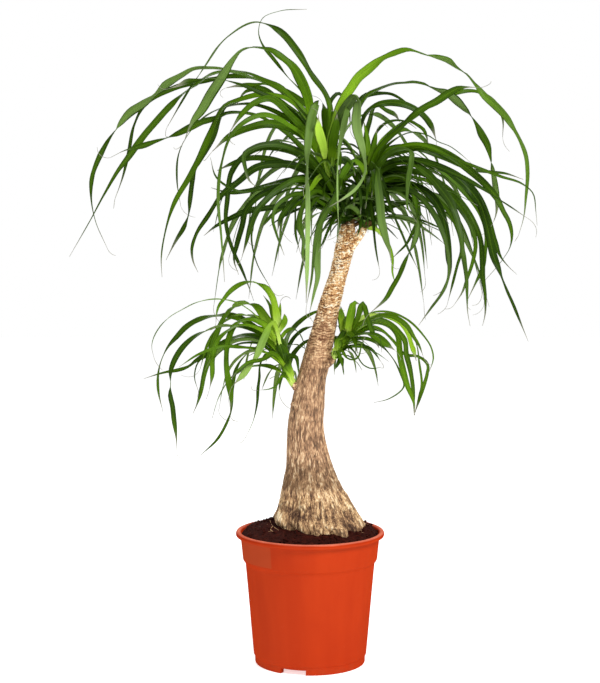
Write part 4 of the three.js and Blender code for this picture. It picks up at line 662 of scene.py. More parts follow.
def leaf_material(name, codes, rough):
    """A satin strap leaf: soft streaks along it, a pale root, a dull underside, a dry tip, painted
    sheen.
    """
    dark, green, bright, lime, grey, tip = codes.split()
    n = Nodes(name)
    across, along, far = n.three("blade")
    youth, pale, chance = n.three("kind")
    under = n.number("under")
    seed = chance * 91.0
    patches = n.clouds(n.join(across * 0.6, far * 13.0, seed), 1.0, 3.0)
    fibres = n.clouds(n.join(across * 4.6, far * 4.0, seed), 1.0, 2.0)
    ripples = n.clouds(n.join(across, far * 190.0, seed), 1.0, 1.0)
    root = n.remap(along, *LEAF_ROOT, 1.0, 0.0)
    fade = n.remap(along, *LEAF_FADE, 1.0, 0.34)
    age = root * 0.44 + youth * fade + (patches - 0.5) * 0.34
    colour = n.ramp(age, LEAF_STOPS, (dark, green, bright, lime))
    colour = n.shaded(colour, fibres * 0.5 + 0.75)
    midrib = n.remap(abs(across), *LEAF_RIB, 0.16, 0.0)
    edge = n.remap(abs(across), *LEAF_EDGE, 0.0, 0.22)
    colour = n.mix(edge, n.mix(midrib, colour, bright), dark)
    # Grey that is partly a paler underside and partly painted sheen grows out along the leaves that
    # carry it.
    underside_and_sheen = pale * n.remap(along, *LEAF_UNDER_AND_SHEEN, 0.2, 1.0)
    colour = n.mix(n.clamped(under * 0.28 + underside_and_sheen), colour, grey)
    dry = n.remap(along + (patches - 0.5) * 0.08, *LEAF_DRY)
    colour = n.mix(dry, colour, tip)
    normal = n.bump(ripples * 0.25 + fibres, 0.0004, 0.4)
    skin = n.skin(colour, under * 0.14 + patches * 0.16 + (rough - 0.08), normal, LEAF_SHINE)
    glow = n.add("BsdfTranslucent", {"Color": n.mix(0.4, colour, bright), "Normal": normal})
    return n.finish(n.blend(LEAF_GLOW, skin, glow))


# Bark colours from shadow to light: at the foot, above it, up the stem, and below the fork.
BARK_COLOURS = [
    ((0.0, 0.28, 0.55, 0.8, 1.0), "40291c 7c5c40 b48e64 dcba8a f4e0ba"),
    ((0.0, 0.3, 0.6, 0.85, 1.0), "54402f 805f46 ae8764 cfa982 e2c49e"),
    ((0.0, 0.28, 0.58, 0.82, 1.0), "5c3c24 8f6848 bc946c dcb98e f0dab4"),
    ((0.0, 0.26, 0.55, 0.8, 1.0), "7c4a22 be8a54 e6bc88 f8dfb8 fff6e4"),
]
# Heights in metres between which those colours change, the dark belt above the foot starts and ends,
# the stem's top is painted lighter where the crown shades it, and its top turns green.
BARK_WAIST, BARK_STEM, BARK_TOP = (0.27, 0.36), (0.405, 0.51), (0.53, 0.59)
BELT_STARTS, BELT_ENDS = (0.258, 0.272), (0.288, 0.312)
BARK_PAINTED_LIGHT, BARK_GREEN = (0.585, 0.63), (0.645, 0.675)


def bark_material(name):
    """Tan ringed bark above, grey-brown fissured bark, pale corky foot; painted light on the stem's
    top.
    """
    n = Nodes(name)
    crack, tone, height = n.three("bark")
    place = n.place()
    high = n.remap(height, *BARK_STEM)
    fibres = n.clouds(n.stretched(place, (1.0, 1.0, 0.13)), 760.0, 3.0, 0.6)
    rings = n.clouds(n.stretched(place, (0.3, 0.3, 1.5)), 330.0, 3.0, 0.6)
    fibres = high * (rings - fibres) + fibres
    flakes = n.clouds(n.stretched(place, (1.0, 1.0, 0.36)), 300.0, 3.0, 0.6)
    stains = n.clouds(place, 30.0, 3.0)
    shade = n.remap(fibres, 0.34, 0.66) * 0.46 + (tone - 0.23)
    shade = n.remap(flakes, 0.34, 0.66) * 0.3 + (shade - 0.15)
    shade = n.clamped(shade + (stains - 0.5) * 0.5)
    foot, waist, stem, top = (n.ramp(shade, at, codes.split()) for at, codes in BARK_COLOURS)
    top = n.mix(n.remap(stains * 0.06 + height, *BARK_TOP), stem, top)
    belt = n.remap(height, *BELT_STARTS) * n.remap(height, *BELT_ENDS, 1.0, 0.0)
    belt = belt * n.remap(stains, 0.4, 0.62, 0.3, 0.75)
    low = n.mix(n.remap(stains * 0.08 + height, *BARK_WAIST), foot, waist)
    whole = n.mix(high, n.mix(belt, low, "5a4026"), top)
    cracks = n.mix(high, "4a3426", "5c341a")
    colour = n.mix(n.remap(crack, 0.05, 0.75, 0.86, 0.0), whole, cracks)
    green = n.remap(height + stains * 0.03, *BARK_GREEN, 0.0, 0.35)
    colour = n.mix(green, colour, "5d4a1c")
    # Painted light: the stem is made lighter below the fork, where the crown shades it.
    colour = n.shaded(colour, n.remap(height, *BARK_PAINTED_LIGHT, 1.0, 1.2))
    normal = n.bump(flakes + fibres * 0.6, 0.0011, 0.8)
    return n.finish(n.skin(colour, flakes * 0.2 + 0.68, normal, 0.3))


# The pot's dull panel: the angle and the height of its middle, and where its sides and its ends fade.
PANEL_TURN, PANEL_MIDDLE, PANEL_SIDES, PANEL_ENDS = -2.62, 0.1742, (0.45, 0.462), (0.0158, 0.0165)
# The heights of the painted highlight along the top edge of its lip, and of the dirt at its bottom.
LIP_HIGHLIGHT, POT_BOTTOM = (0.1955, 0.1978), (0.0, 0.02)


def pot_material():
    """Glossy terracotta-coloured plastic: a dull smooth panel, flow marks, scuffs, a painted lip
    highlight.
    """
    n = Nodes("pot_plastic")
    place = n.place()
    x, y, z = n.split(place)
    flow = n.clouds(n.stretched(place, (1.0, 1.0, 0.12)), 26.0, 3.0)
    marks = n.clouds(place, 11.0, 4.0)
    grain = n.clouds(place, 900.0, 2.0)
    dirt = n.clouds(place, 60.0, 5.0, 0.7)
    colour = n.mix(n.remap(flow, 0.3, 0.75), "a22804", "ac2f08")
    colour = n.mix(n.remap(marks, 0.45, 0.75, 0.0, 0.35), colour, "9a2204")
    beside = abs(n.sum("ARCTAN2", y, x) - PANEL_TURN)
    above = abs(z - PANEL_MIDDLE)
    panel = n.remap(beside, *PANEL_SIDES, 1.0, 0.0) * n.remap(above, *PANEL_ENDS, 1.0, 0.0)
    colour = n.mix(panel * 0.42, colour, "9a4526")
    # A painted highlight: a pale pink line along the top edge of the lip.
    painted_highlight = n.remap(z, *LIP_HIGHLIGHT) * n.remap(flow, 0.25, 0.7, 0.25, 0.5)
    colour = n.mix(painted_highlight, colour, "f0967c")
    scuffs = n.remap(dirt, 0.62, 0.8, 0.0, 0.07)
    colour = n.mix(scuffs, colour, "d8805c")
    low = n.remap(z, *POT_BOTTOM, 0.5, 0.0) * n.remap(dirt, 0.4, 0.7)
    colour = n.mix(low, colour, "8c3a20")
    rough = marks * 0.1 + 0.3 + (panel * 0.12 + scuffs)
    normal = n.bump(flow + grain * 0.05, 0.0008, 0.3)
    shine = n.add("BsdfGlossy", {"Color": "ff9c78", "Roughness": 0.32, "Normal": normal})
    return n.finish(n.blend(0.035, n.skin(colour, rough, normal, 0.0), shine))


def soil_material():
    """Damp brown peat with paler crumbs and fibres."""
    n = Nodes("peat")
    place = n.place()
    clods = n.clouds(place, 120.0, 5.0, 0.7)
    crumbs = n.add("TexVoronoi", {"Vector": place, "Scale": 420.0}, "Distance")
    specks = n.clouds(place, 650.0, 2.0)
    colour = n.ramp(clods, (0.25, 0.5, 0.72, 0.95), ("1c0703", "320f09", "4e1d12", "6e3420"))
    colour = n.mix(n.remap(crumbs, 0.1, 0.7, 0.5, 0.0), colour, "351610")
    colour = n.mix(n.remap(specks, 0.7, 0.78, 0.0, 0.5), colour, "85604a")
    normal = n.bump(clods - crumbs * 0.4, 0.003)
    return n.finish(n.skin(colour, 0.93, normal, 0.08))


def thread_material(name, codes):
    """Dry roots, or dry leaf ends."""
    n = Nodes(name)
    streaks = n.clouds(n.place(), 300.0, 4.0)
    colour = n.ramp(streaks, (0.25, 0.5, 0.75, 0.95), codes.split())
    return n.finish(n.skin(colour, 0.8, n.bump(streaks, 0.0006, 0.8), 0.3))


def floor_material():
    """A pale floor that gives a little light of its own, as a lit studio floor does."""
    n = Nodes("pale_floor")
    colour = n.mix(n.clouds(n.place(), 3.0, 2.0), "f4f4f3", "f8f8f8")
    values = {"Base Color": colour, "Roughness": 0.9, "Specular IOR Level": 0.1}
    glow = {"Emission Color": "ffffff", "Emission Strength": 0.62}
    return n.finish(n.add("BsdfPrincipled", {**values, **glow}))


# Leaves: how one by rule bends and twists, and how slim it is here beside the CAD part's.
BEND, TWIST_TURNS, FILL_SLIM = 1.3, 2.2, 0.94


def along(line, share):
    """A place part of the way up a line of points, each number mixed evenly."""
    line = np.asarray(line, float)
    at = share * (len(line) - 1)
    i = min(int(at), len(line) - 2)
    return line[i] + (line[i + 1] - line[i]) * (at - i)


def tangents(points):
    """The way that a line goes at each of its points."""
    return unit(np.concatenate([points[1:], points[-1:]]) - np.concatenate([points[:1], points[:-1]]))


def runs(points):
    """How far along its line each point is."""
    return np.concatenate([[0], np.cumsum(np.linalg.norm(np.diff(points, axis=0), axis=1))])


def widths(points, full, shown):
    """A leaf's width at each point: by its taper, or as it is seen where that is more."""
    run = runs(points)
    taper = TIP_SHARE + (1 - TIP_SHARE) * (1 - (run / run[-1]) ** TAPER)
    wide = np.maximum(SLIM * np.maximum(full * taper, np.abs(shown)), TIP_WIDTH)
    wide[0] = full * ROOT_SHARE
    return wide


def seen_leaf(row, depth):
    """A leaf read from the view: its places are in the plane y = 0 as they look from EYE."""
    head, up, _, full, *flat = row
    flat = np.array(flat).reshape(-1, 3)
    root = along(HEADS[head], up)[:3]
    flat_run = runs(np.vstack([[root[0], root[2]], flat[:, :2]]))
    y = root[1] + depth * np.sin(math.pi / 2 * flat_run[1:] / flat_run[-1])
    k = 1 - y / EYE[1]
    points = np.stack([EYE[0] + (flat[:, 0] - EYE[0]) * k, y, EYE[2] + (flat[:, 1] - EYE[2]) * k], -1)
    points = np.vstack([root, points])
    shown = np.concatenate([flat[:1, 2], flat[:, 2]])
    wide = widths(points, full, shown)
    ways = tangents(points)
    turn = 1 if points[-1, 0] < points[0, 0] else -1
    face = unit(np.cross(unit(points - EYE), ways))
    c = np.clip(SLIM * shown / wide, -1, 1)[:, None]
    side = face * c + np.cross(ways, face) * turn * np.sqrt(1 - c * c)
    return {"head": head, "up": up, "points": points, "wide": wide, "side": side}


def rule_leaf(head, up, compass, curl, long, slope, droop, full, twist, phase, steps=FILL_STEPS):
    """A leaf by rule: it rises from its head at a slope and bends over as it goes out."""
    points = [along(HEADS[head], up)[:3]]
    for k in range(steps):
        s = (k + 0.5) / steps
        rise = math.radians(slope + (droop - slope) * math.sin(math.pi / 2 * s) ** BEND)
        a = math.radians(compass + curl * s * s)
        flat, lift = long / steps * math.cos(rise), long / steps * math.sin(rise)
        points.append(points[k] + [flat * math.cos(a), flat * math.sin(a), lift])
    points = np.array(points)
    ways = tangents(points)
    level, side = np.cross(ways[0], [0, 0, 1]), []
    for i, way in enumerate(ways):
        level = unit(level - way * (level @ way))
        t = math.radians(twist * math.sin(TWIST_TURNS * math.pi * i / steps + phase))
        side.append(level * math.cos(t) + np.cross(way, level) * math.sin(t))
    wide = widths(points, full, np.zeros(len(points)))
    return {"head": head, "up": up, "points": points, "wide": wide, "side": np.array(side)}


def gaps_between(p1, q1, p2, q2):
    """How near one straight piece comes to each of several."""
    d1, d2, r = q1 - p1, q2 - p2, p1 - p2
    a, e, f = d1 @ d1, (d2 * d2).sum(1), (d2 * r).sum(1)
    c, b = r @ d1, d2 @ d1
    apart = a * e - b * b
    safe = np.where(apart > 1e-9, apart, 1)
    s = np.where(apart > 1e-9, np.clip((b * f - c * e) / safe, 0, 1), 0)
    t = (b * s + f) / e
    s = np.where(t < 0, np.clip(-c / a, 0, 1), np.where(t > 1, np.clip((b - c) / a, 0, 1), s))
    t = np.clip(t, 0, 1)
    return np.linalg.norm(p1 + d1 * s[:, None] - p2 - d2 * t[:, None], axis=1)


TRUNK_LINE = np.array([[x, 0, z, r * (1 + deep)] for z, x, r, deep in TRUNK], float)
TRUNK_PARTS = (
    TRUNK_LINE[:-1, :3], TRUNK_LINE[1:, :3], np.maximum(TRUNK_LINE[:-1, 3], TRUNK_LINE[1:, 3]))


def clear_of(leaf, others):
    """Whether a leaf stays off the trunk and off the leaves of other nodes."""
    points, wide, run = leaf["points"], leaf["wide"], runs(leaf["points"])
    for i in range(1, len(points) - 1):
        half = max(wide[i], wide[i + 1]) / 2 + CLEAR
        near = [TRUNK_PARTS] if run[i] > ROOT_FREE else []
        for starts, ends, reach in near + ([others] if others else []):
            if (gaps_between(points[i], points[i + 1], starts, ends) < half + reach).any():
                return False
    return True


def segments(leaves):
    """All the straight pieces of leaves: starts, ends and half widths."""
    if not leaves:
        return None
    return (
        np.vstack([leaf["points"][:-1] for leaf in leaves]),
        np.vstack([leaf["points"][1:] for leaf in leaves]),
        np.concatenate([np.maximum(leaf["wide"][:-1], leaf["wide"][1:]) / 2 for leaf in leaves]),
    )


def placed(make, others):
    """The first leaf that is clear, trying 0, 1, -1, 2, -2 and so on."""
    for n in range(TRIES):
        leaf = make((n + 1) // 2 if n % 2 else -(n // 2))
        if clear_of(leaf, others):
            return leaf
    raise ValueError("no room for a leaf")


def make_leaves():
    """The leaves of each node, in the order and with the draws of part.mjs."""
    draw, nodes = Draw(SEED), {}
    for node, heads in NODES.items():
        others = segments([leaf for leaves in nodes.values() for leaf in leaves])
        leaves = []
        for number, row in enumerate(SEEN):
            if row[0] in heads:
                leaf = placed(lambda n: seen_leaf(row, row[2] + TRY_DEPTH * n), others)
                leaves.append({**leaf, "depth": row[2], "row": number})
        for head, count, start, end, longs, slopes, droop in FILL:
            if head not in heads:
                continue
            for i in range(count):
                age = (i * GOLDEN) % 1
                compass = start + ((end - start) * (i + draw(0.2, 0.8))) / count
                curl, long = draw(-FILL_CURL, FILL_CURL), draw(*longs)
                slope = slopes[0] + (slopes[1] - slopes[0]) * age
                full, twist, phase = draw(*FILL_WIDTH), draw(-FILL_TWIST, FILL_TWIST), draw(0, 6)
                up, rule = FILL_FROM + FILL_REACH * age, (curl, long, slope, droop, full, twist, phase)
                leaf = placed(lambda n: rule_leaf(head, up, compass + TRY_TURN * n, *rule), others)
                leaves.append({**leaf, "depth": 0, "wide": FILL_SLIM * leaf["wide"]})
        nodes[node] = leaves
    return nodes


# A blade's section: places across its top, and then back along its underside. Below them are how fine
# it is made, how deep its channel is, how slim its end gets, and how its ribbon turns and ripples.
TOP_ACROSS = np.array([-1, -0.68, -0.34, 0, 0.34, 0.68, 1])
RING_ACROSS = np.concatenate([TOP_ACROSS, TOP_ACROSS[-2:0:-1]])
IS_TOP = np.arange(len(RING_ACROSS)) < len(TOP_ACROSS)
LEAF_STEP, FEWEST_ROWS, MOST_ROWS = 6.0, 8, 110
CHANNEL, THINNEST, TIP_SLIM = 0.17, 1.1, 0.62
USUAL_ROLL, ROLL_LENGTH, ROLL_APART = 150, 62, 57
RIPPLE, RIPPLE_LENGTH, RIPPLE_APART = 0.16, 26, 40


def lane(at, apart):
    """Places along a straight line through a noise, for one leaf."""
    return np.stack([at, np.full_like(at, apart), np.zeros_like(at)], -1)


def fine_leaf(leaf, chance, spacing):
    """Rings of points of a thin channelled blade on the leaf's own curve, and its numbers."""
    run = runs(leaf["points"])
    count = int(np.clip(math.ceil(run[-1] / spacing), FEWEST_ROWS, MOST_ROWS))
    at = np.linspace(0, run[-1], count + 1)
    u = at / run[-1]
    line = smooth(at, run, leaf["points"])
    way = tangents(line)
    side = np.stack([np.interp(at, run, leaf["side"][:, k]) for k in range(3)], -1)
    side = unit(side - way * (side * way).sum(1, keepdims=True))
    # The ribbon turns to and fro about its own line, each blade in its own places.
    wave = layered(lane(at / ROLL_LENGTH, ROLL_APART * chance), 2, 8) - 0.5
    roll = (math.radians(leaf.get("roll", USUAL_ROLL)) * wave * step(0.04, 0.2, u))[:, None]
    side = side * np.cos(roll) + np.cross(way, side) * np.sin(roll)
    above = np.cross(side, way)
    wide = np.maximum(smooth(at, run, leaf["wide"][:, None])[:, 0], THINNEST)
    wide = wide * (1 - TIP_SLIM * step(0.88, 1, u))
    a = RING_ACROSS[None, :]
    sink = -CHANNEL * wide * (1 - 0.72 * step(0, 0.8, u))
    thick = (0.45 + 0.035 * wide)[:, None] * (1 - np.abs(a) ** 4)
    rise = sink[:, None] * (1 - np.abs(a) ** 1.35) - np.where(IS_TOP[None, :], 0, thick)
    # The edges ripple a little, each on its own.
    places = lane(at / RIPPLE_LENGTH, RIPPLE_APART * chance)
    left, right = noise(places, 5) - 0.5, noise(places, 6) - 0.5
    ripple = np.where(a < 0, left[:, None], right[:, None]) * np.abs(a) ** 2
    rise = rise + ripple * (RIPPLE * wide * step(0.05, 0.3, u))[:, None]
    out = side[:, None] * (a * wide[:, None] / 2)[:, :, None]
    rings = line[:, None] + out + above[:, None] * rise[:, :, None]
    numbers = (a, u[:, None], at[:, None] * MM)
    return rings, np.stack([np.broadcast_to(values, rise.shape) for values in numbers], -1)


def leaf_piece(name, leaves, material, spacing=LEAF_STEP):
    """All these leaves as one mesh of closed blades."""
    points, blades, kinds, quads, thirds, under = [], [], [], [], [], []
    first, ring, edge = 0, len(RING_ACROSS), len(TOP_ACROSS) - 1
    cap_quads = np.array([[j, j + 1, ring - j - 1, ring - j] for j in range(1, edge - 1)])
    cap_thirds = np.array([[0, 1, ring - 1], [edge - 1, edge, edge + 1]])
    for k, leaf in enumerate(leaves):
        chance = (k * GOLDEN + 0.137 * len(name)) % 1
        rings, blade = fine_leaf(leaf, chance, spacing)
        rows = len(rings)
        points.append(rings.reshape(-1, 3))
        blades.append(blade.reshape(-1, 3))
        kinds.append(np.tile([leaf["youth"], leaf["pale"], chance], (rows * ring, 1)))
        last = first + (rows - 1) * ring
        quads += [grid_faces(rows, ring, first), first + cap_quads[:, ::-1], last + cap_quads]
        thirds += [first + cap_thirds[:, ::-1], last + cap_thirds]
        under += [np.tile(~IS_TOP, rows - 1), np.zeros(2 * len(cap_quads))]
        first += rows * ring
    under.append(np.zeros(2 * len(cap_thirds) * len(leaves)))
    return mesh_piece(
        name, np.vstack(points), [np.vstack(quads), np.vstack(thirds)], material,
        {"blade": np.vstack(blades), "kind": np.vstack(kinds)}, {"under": np.concatenate(under)})


def within(points, box, gap):
    """Whether points lie inside a box by a gap."""
    return (points > box[0] + gap).all() and (points < box[1] - gap).all()


# How far the inner leaves stay inside the CAD box, and off the front of the stem up to its top.
INNER_GAP, STEM_GAP, STEM_TOP = 4, 5, 600


def inner_leaves(box, head, count, seed, longs, width, arc, lift, slopes):
    """Shorter leaves that fill a head, by a rule of their own. They stay in the CAD box and off the
    trunk, and off the front of the stem."""
    draw, made = Draw(seed), []
    for i in range(count):
        age = (i * GOLDEN) % 1
        up = lift[0] + (lift[1] - lift[0]) * age
        compass = arc[0] + (arc[1] - arc[0]) * ((i * GOLDEN * 1.7) % 1) + draw(-12, 12)
        curl, long = draw(-30, 30), draw(*longs)
        slope = slopes[0] + (slopes[1] - slopes[0]) * age + draw(-10, 12)
        droop, full, twist, phase = draw(-70, -20), draw(*width), draw(-40, 40), draw(0, 6)
        leaf = rule_leaf(head, up, compass, curl, long, slope, droop, full, twist, phase, steps=8)
        x, y, z = leaf["points"].T
        stem, half = (np.interp(z, TRUNK_LINE[:, 2], TRUNK_LINE[:, k]) for k in (0, 3))
        over = (np.abs(x - stem) < half + STEM_GAP) & (y < 0) & (z < STEM_TOP)
        if within(leaf["points"], box, INNER_GAP) and not over.any() and clear_of(leaf, None):
            made.append({**leaf, "depth": 0, "inner": True})
    return made


# How young certain seen leaves are, how much grey they carry (partly a paler underside and partly
# painted sheen), and how far they turn, by their row.
LOOKS = {
    2: (0.36, 0, 20), 8: (0.4, 0, 60), 25: (0.22, 1.0, 20), 26: (2.6, 0, 10), 28: (0.3, 0.2, 30),
    29: (0.0, 0.8, 30), 30: (0.8, 0, 40), 31: (0.7, 0, 40), 33: (1.4, 0, 30), 38: (0.4, 0.5, 30),
    41: (0.55, 0.1, 12), 42: (0.2, 0, 12), 43: (0.3, 0, 20), 64: (0.2, 0.3, 30), 70: (0.8, 0, 60),
    71: (0.9, 0, 60), 72: (1.6, 0, 30), 73: (0.62, 0, 40), 83: (0.75, 0.6, 20), 88: (1.1, 0, 30),
    95: (1.4, 0, 30), 96: (1.4, 0, 20), 104: (1.2, 0, 20), 105: (0.8, 0, 20), 115: (0.9, 0, 30),
    116: (0.4, 0.8, 20),
}
SEEN_ROLL, RULE_ROLL = 110, 170


def tone(leaf, index):
    """How young a leaf looks and how grey, part underside and part painted sheen; top leaves are
    youngest.
    """
    chance = (index * GOLDEN * 2.3) % 1
    young = 0.13 + 0.2 * step(0.45, 0.95, leaf["up"]) + 0.44 * (chance - 0.45)
    # Leaves far in front get a little grey: painted sheen, partly a paler underside.
    pale = 0.15 * step(-90, -150, leaf["depth"])
    roll = SEEN_ROLL if leaf["depth"] else RULE_ROLL
    if leaf.get("row") in LOOKS:
        young, pale, roll = LOOKS[leaf["row"]]
    if leaf.get("inner"):
        young -= 0.06
    return {**leaf, "youth": young, "pale": pale, "roll": roll}


# The pot: its outline as radius and height, from its underside out, up, and back down inside.
POT_SEGMENTS, POT_CREASE = 168, 38
POT_OUTLINE = np.array([
    (27, 0), (27.6, 0.6), (28, 5), (73, 5), (73.4, 0.5), (74, 0), (81.2, 0), (81.9, 0.5),
    (82.2, 2), (82.3, 8), (82.4, 10.4), (82.9, 11.6), (83.8, 12.4), (84.3, 13.6), (84.8, 19),
    (87.5, 50), (90.4, 84), (93.1, 115), (96, 147.5), (96.5, 150.6), (97.6, 152.8), (99, 154.4),
    (99.9, 156), (100.3, 158.2), (101.2, 168), (102.6, 181), (103.3, 188), (103.7, 189.6),
    (105.2, 190.4), (108.2, 190.6), (109.7, 191.1), (110.4, 192.2), (110.5, 194), (110.2, 195.8),
    (109.2, 197.2), (107.6, 197.9), (106, 198), (104.7, 197.6), (103.2, 196.2), (102.2, 194),
    (101.4, 191.5), (99.6, 175), (97.8, 158.2), (93.8, 152.4), (88.9, 92), (82, 17), (79, 9),
])
# The notches and the foot ring they are in, the drain holes and their drill, and a hair's turn.
NOTCHES, NOTCH_TURN, NOTCH_HALF, NOTCH_TALL = 3, -1.89, 18.5, 8.0
FOOT_RADIUS, FOOT_IN, FOOT_OUT, FOOT_STEP, FLOOR_UP = 78, 73.2, 82.35, 73.5, 5.0
DRAINS, DRAIN_RADIUS, DRAIN_RING, DRILL_LONG, DRILL_SIDES = 6, 4.5, 50, 40, 28
HAIR = 1e-3


def notch_turn(k):
    return NOTCH_TURN + 2 * math.pi * k / NOTCHES


def make_pot(material):
    """The pot's outline turned round, with the notches stepped into its foot ring."""
    half = NOTCH_HALF / FOOT_RADIUS

    def cut(angle):
        off = [(angle - notch_turn(k) + math.pi) % (2 * math.pi) - math.pi for k in range(NOTCHES)]
        return int(min(abs(o) for o in off) < half)

    turns = [(a, cut(a)) for a in circle(POT_SEGMENTS)]
    for k in range(NOTCHES):
        for edge, way in ((notch_turn(k) - half, 1), (notch_turn(k) + half, -1)):
            turns += [(edge - way * HAIR, 0), (edge + way * HAIR, 1)]
    columns = sorted({(round(a % (2 * math.pi), 6), c) for a, c in turns})
    angles = np.array([a for a, _ in columns])
    notched = np.array([c for _, c in columns], bool)
    r, z = POT_OUTLINE[:, :1], np.repeat(POT_OUTLINE[:, 1:], len(columns), 1)
    foot = (r > FOOT_IN) & (r < FOOT_OUT) & (POT_OUTLINE[:, 1:] < NOTCH_TALL)
    lifted = np.where(r < FOOT_STEP, FLOOR_UP, NOTCH_TALL)
    z = np.where(foot & notched, np.maximum(z, lifted), z)
    points = np.stack([r * np.cos(angles), r * np.sin(angles), z], -1).reshape(-1, 3)
    points = np.vstack([points, [0, 0, 0], [0, 0, POT_OUTLINE[-1, 1]]])
    pot = mesh_piece("pot_shell", points, closed_faces(len(POT_OUTLINE), len(columns)), material)
    pierce(pot)
    return pot


def pierce(pot):
    """Cuts the drain holes through the pot's floor, and creases its sharp turns."""
    bpy.ops.mesh.primitive_cylinder_add(
        vertices=DRILL_SIDES, radius=DRAIN_RADIUS * MM, depth=DRILL_LONG * MM)
    cutter = bpy.context.active_object
    cutter.name = "drill"
    cut = pot.modifiers.new("drain", "BOOLEAN")
    cut.object, cut.operation, cut.solver = cutter, "DIFFERENCE", "EXACT"
    for k in range(DRAINS):
        a = 2 * math.pi * (k + 0.5) / DRAINS
        cutter.location = (DRAIN_RING * MM * math.cos(a), DRAIN_RING * MM * math.sin(a), 0)
        bpy.context.view_layer.update()
        ready = pot.evaluated_get(bpy.context.evaluated_depsgraph_get())
        kept, pot.data = pot.data, bpy.data.meshes.new_from_object(ready)
        bpy.data.meshes.remove(kept)
    pot.modifiers.remove(cut)
    bpy.data.objects.remove(cutter)
    pot.data.set_sharp_from_angle(angle=math.radians(POT_CREASE))


# Bark: the heights in which the foot's bark ends and the upper bark starts, how many scales, plates
# and flakes go round, and how tall they are.
FOOT_BARK, UPPER_BARK = (232, 290), (416, 492)
SCALES, PLATES, FLAKES = 15, 92, 90
SCALE_TALL, PLATE_TALL, FLAKE_TALL = 3.9, 13, 30
# Two damp, darker places low down, at the right and the left of the front: how dark, their angles
# and half widths, the heights over which the right one ends, and the left one's height and half height.
DAMP, DAMP_RIGHT, DAMP_LEFT, DAMP_UP_TO, DAMP_AT = 0.34, (5.5, 0.24), (4.2, 0.22), (212, 232), (231, 13)
# Where the bark's contrast is stronger: a band's height and half height, above the foot, and the
# heights over which it rises again below the fork.
LIVELY, LIVELY_TOP = (285, 32), (560, 610)
# Toes and hollows of the foot: degrees round, half width in radians, and how far out.
TOES = ((299, 0.17, 12), (323, 0.12, 7), (262, 0.13, 5), (140, 0.4, 5), (205, 0.42, -8))
# The heights over which the toes fade, the height they start at, and how uneven the foot is.
TOE_BARK, TOE_START, TOE_ROUGH = (204, 228), 194, 7.0


def trunk_outline(z, a):
    """Centre across and radius of the plain trunk at heights z and angles a."""
    rows = np.array(TRUNK, float)
    x, r, deep = smooth(np.clip(z, rows[0, 0], rows[-1, 0]), rows[:, 0], rows[:, 1:]).T
    wave = sum(share * np.cos(n * a + phase) for n, phase, share in FURROWS)
    return x, r * (1 + deep * wave)


def off(x, middle, wide):
    """The square of how far off a middle a place is, in widths."""
    return ((x - middle) / wide) ** 2


def bark_relief(a, z, points):
    """How far the bark stands out, and its crack and tone numbers, from the angle and height."""
    upper = step(*UPPER_BARK, z)
    foot = 1 - step(*FOOT_BARK, z)
    turn = a / (2 * math.pi)

    def round_stem(size, tall):
        return np.stack([size * np.cos(a), size * np.sin(a), z / tall], -1)

    def by_height(at_foot, between, above):
        below = between * (1 - foot) + at_foot * foot
        return below * (1 - upper) + above * upper

    warp = layered(points / 15, 3, 11) - 0.5
    fine = layered(points / [2.2, 2.2, 6.5], 3, 21) - 0.5
    fibre = layered(round_stem(34, 13), 2, 91) - 0.5
    lumps = layered(points / [9, 9, 16], 3, 41) - 0.5
    broad = layered(points / [15, 15, 20], 2, 141) - 0.5
    # Leaf scars above: rows of flat scales with thin wandering dark lines between them.
    row = z / SCALE_TALL + 3.4 * (layered(round_stem(1.7, 17), 3, 55) - 0.5)
    edge_a, tag_a, _ = cells(turn * SCALES + 1.2 * warp, row, SCALES, 3)
    line = np.abs(row - np.round(row) + 0.5 * fine)
    depth = 0.5 + 0.5 * step(0.25, 0.55, noise(round_stem(1.9, 2.9), 57))
    lines, joints = 1 - (1 - step(0.06, 0.3, line)) * depth, 0.4 + 0.6 * step(0.02, 0.26, edge_a)
    # Narrow upright plates below, and ragged upright flakes at the foot, their lower ends lifted.
    across, up = turn * PLATES + 2.6 * warp, z / PLATE_TALL + 1.5 * warp
    edge_b, tag_b, fall_b = cells(across, up, PLATES, 13)
    across, up = turn * FLAKES + 1.6 * warp + 0.7 * fibre, z / FLAKE_TALL + 1.0 * warp
    edge_c, tag_c, fall_c = cells(across, up, FLAKES, 33)
    crack_b, crack_c = 0.35 + 0.65 * step(0.0, 0.3, edge_b), 0.2 + 0.8 * step(0.0, 0.34, edge_c)
    crack = by_height(crack_c, crack_b, np.minimum(lines, joints))
    tag = by_height(tag_c, tag_b, tag_a)
    fall = np.clip(fall_b * (1 - foot) * 0.4 + fall_c * foot, -0.7, 0.7) * (1 - upper)
    deep = by_height(1.2, 0.8, 1.5)
    out = deep * (crack - 0.8) + fine * (0.8 * (1 - upper) + 0.5 * upper) + (tag - 0.5) * deep * 0.55
    out = out + 1.0 * fall * (0.3 + 0.7 * foot) + fibre * 1.5 * foot
    out = out + lumps * (2.0 * (1 - upper) * (0.6 + 1.3 * foot) + 1.0 * upper)
    shade = 0.5 + (0.42 - 0.1 * foot) * (tag - 0.5) + 0.5 * fine + 0.45 * lumps * (1 - 0.6 * upper)
    shade = shade + (0.3 * fall + 0.4 * fibre) * (1 - upper) + 0.8 * broad * foot
    shade = shade - DAMP * np.exp(-off(a, *DAMP_RIGHT)) * (1 - step(*DAMP_UP_TO, z))
    shade = shade - DAMP * np.exp(-off(a, *DAMP_LEFT) - off(z, *DAMP_AT))
    lively = 1 + 0.5 * np.exp(-off(z, *LIVELY)) + 0.5 * step(*LIVELY_TOP, z)
    return out, crack, 0.5 + lively * (shade - 0.5)


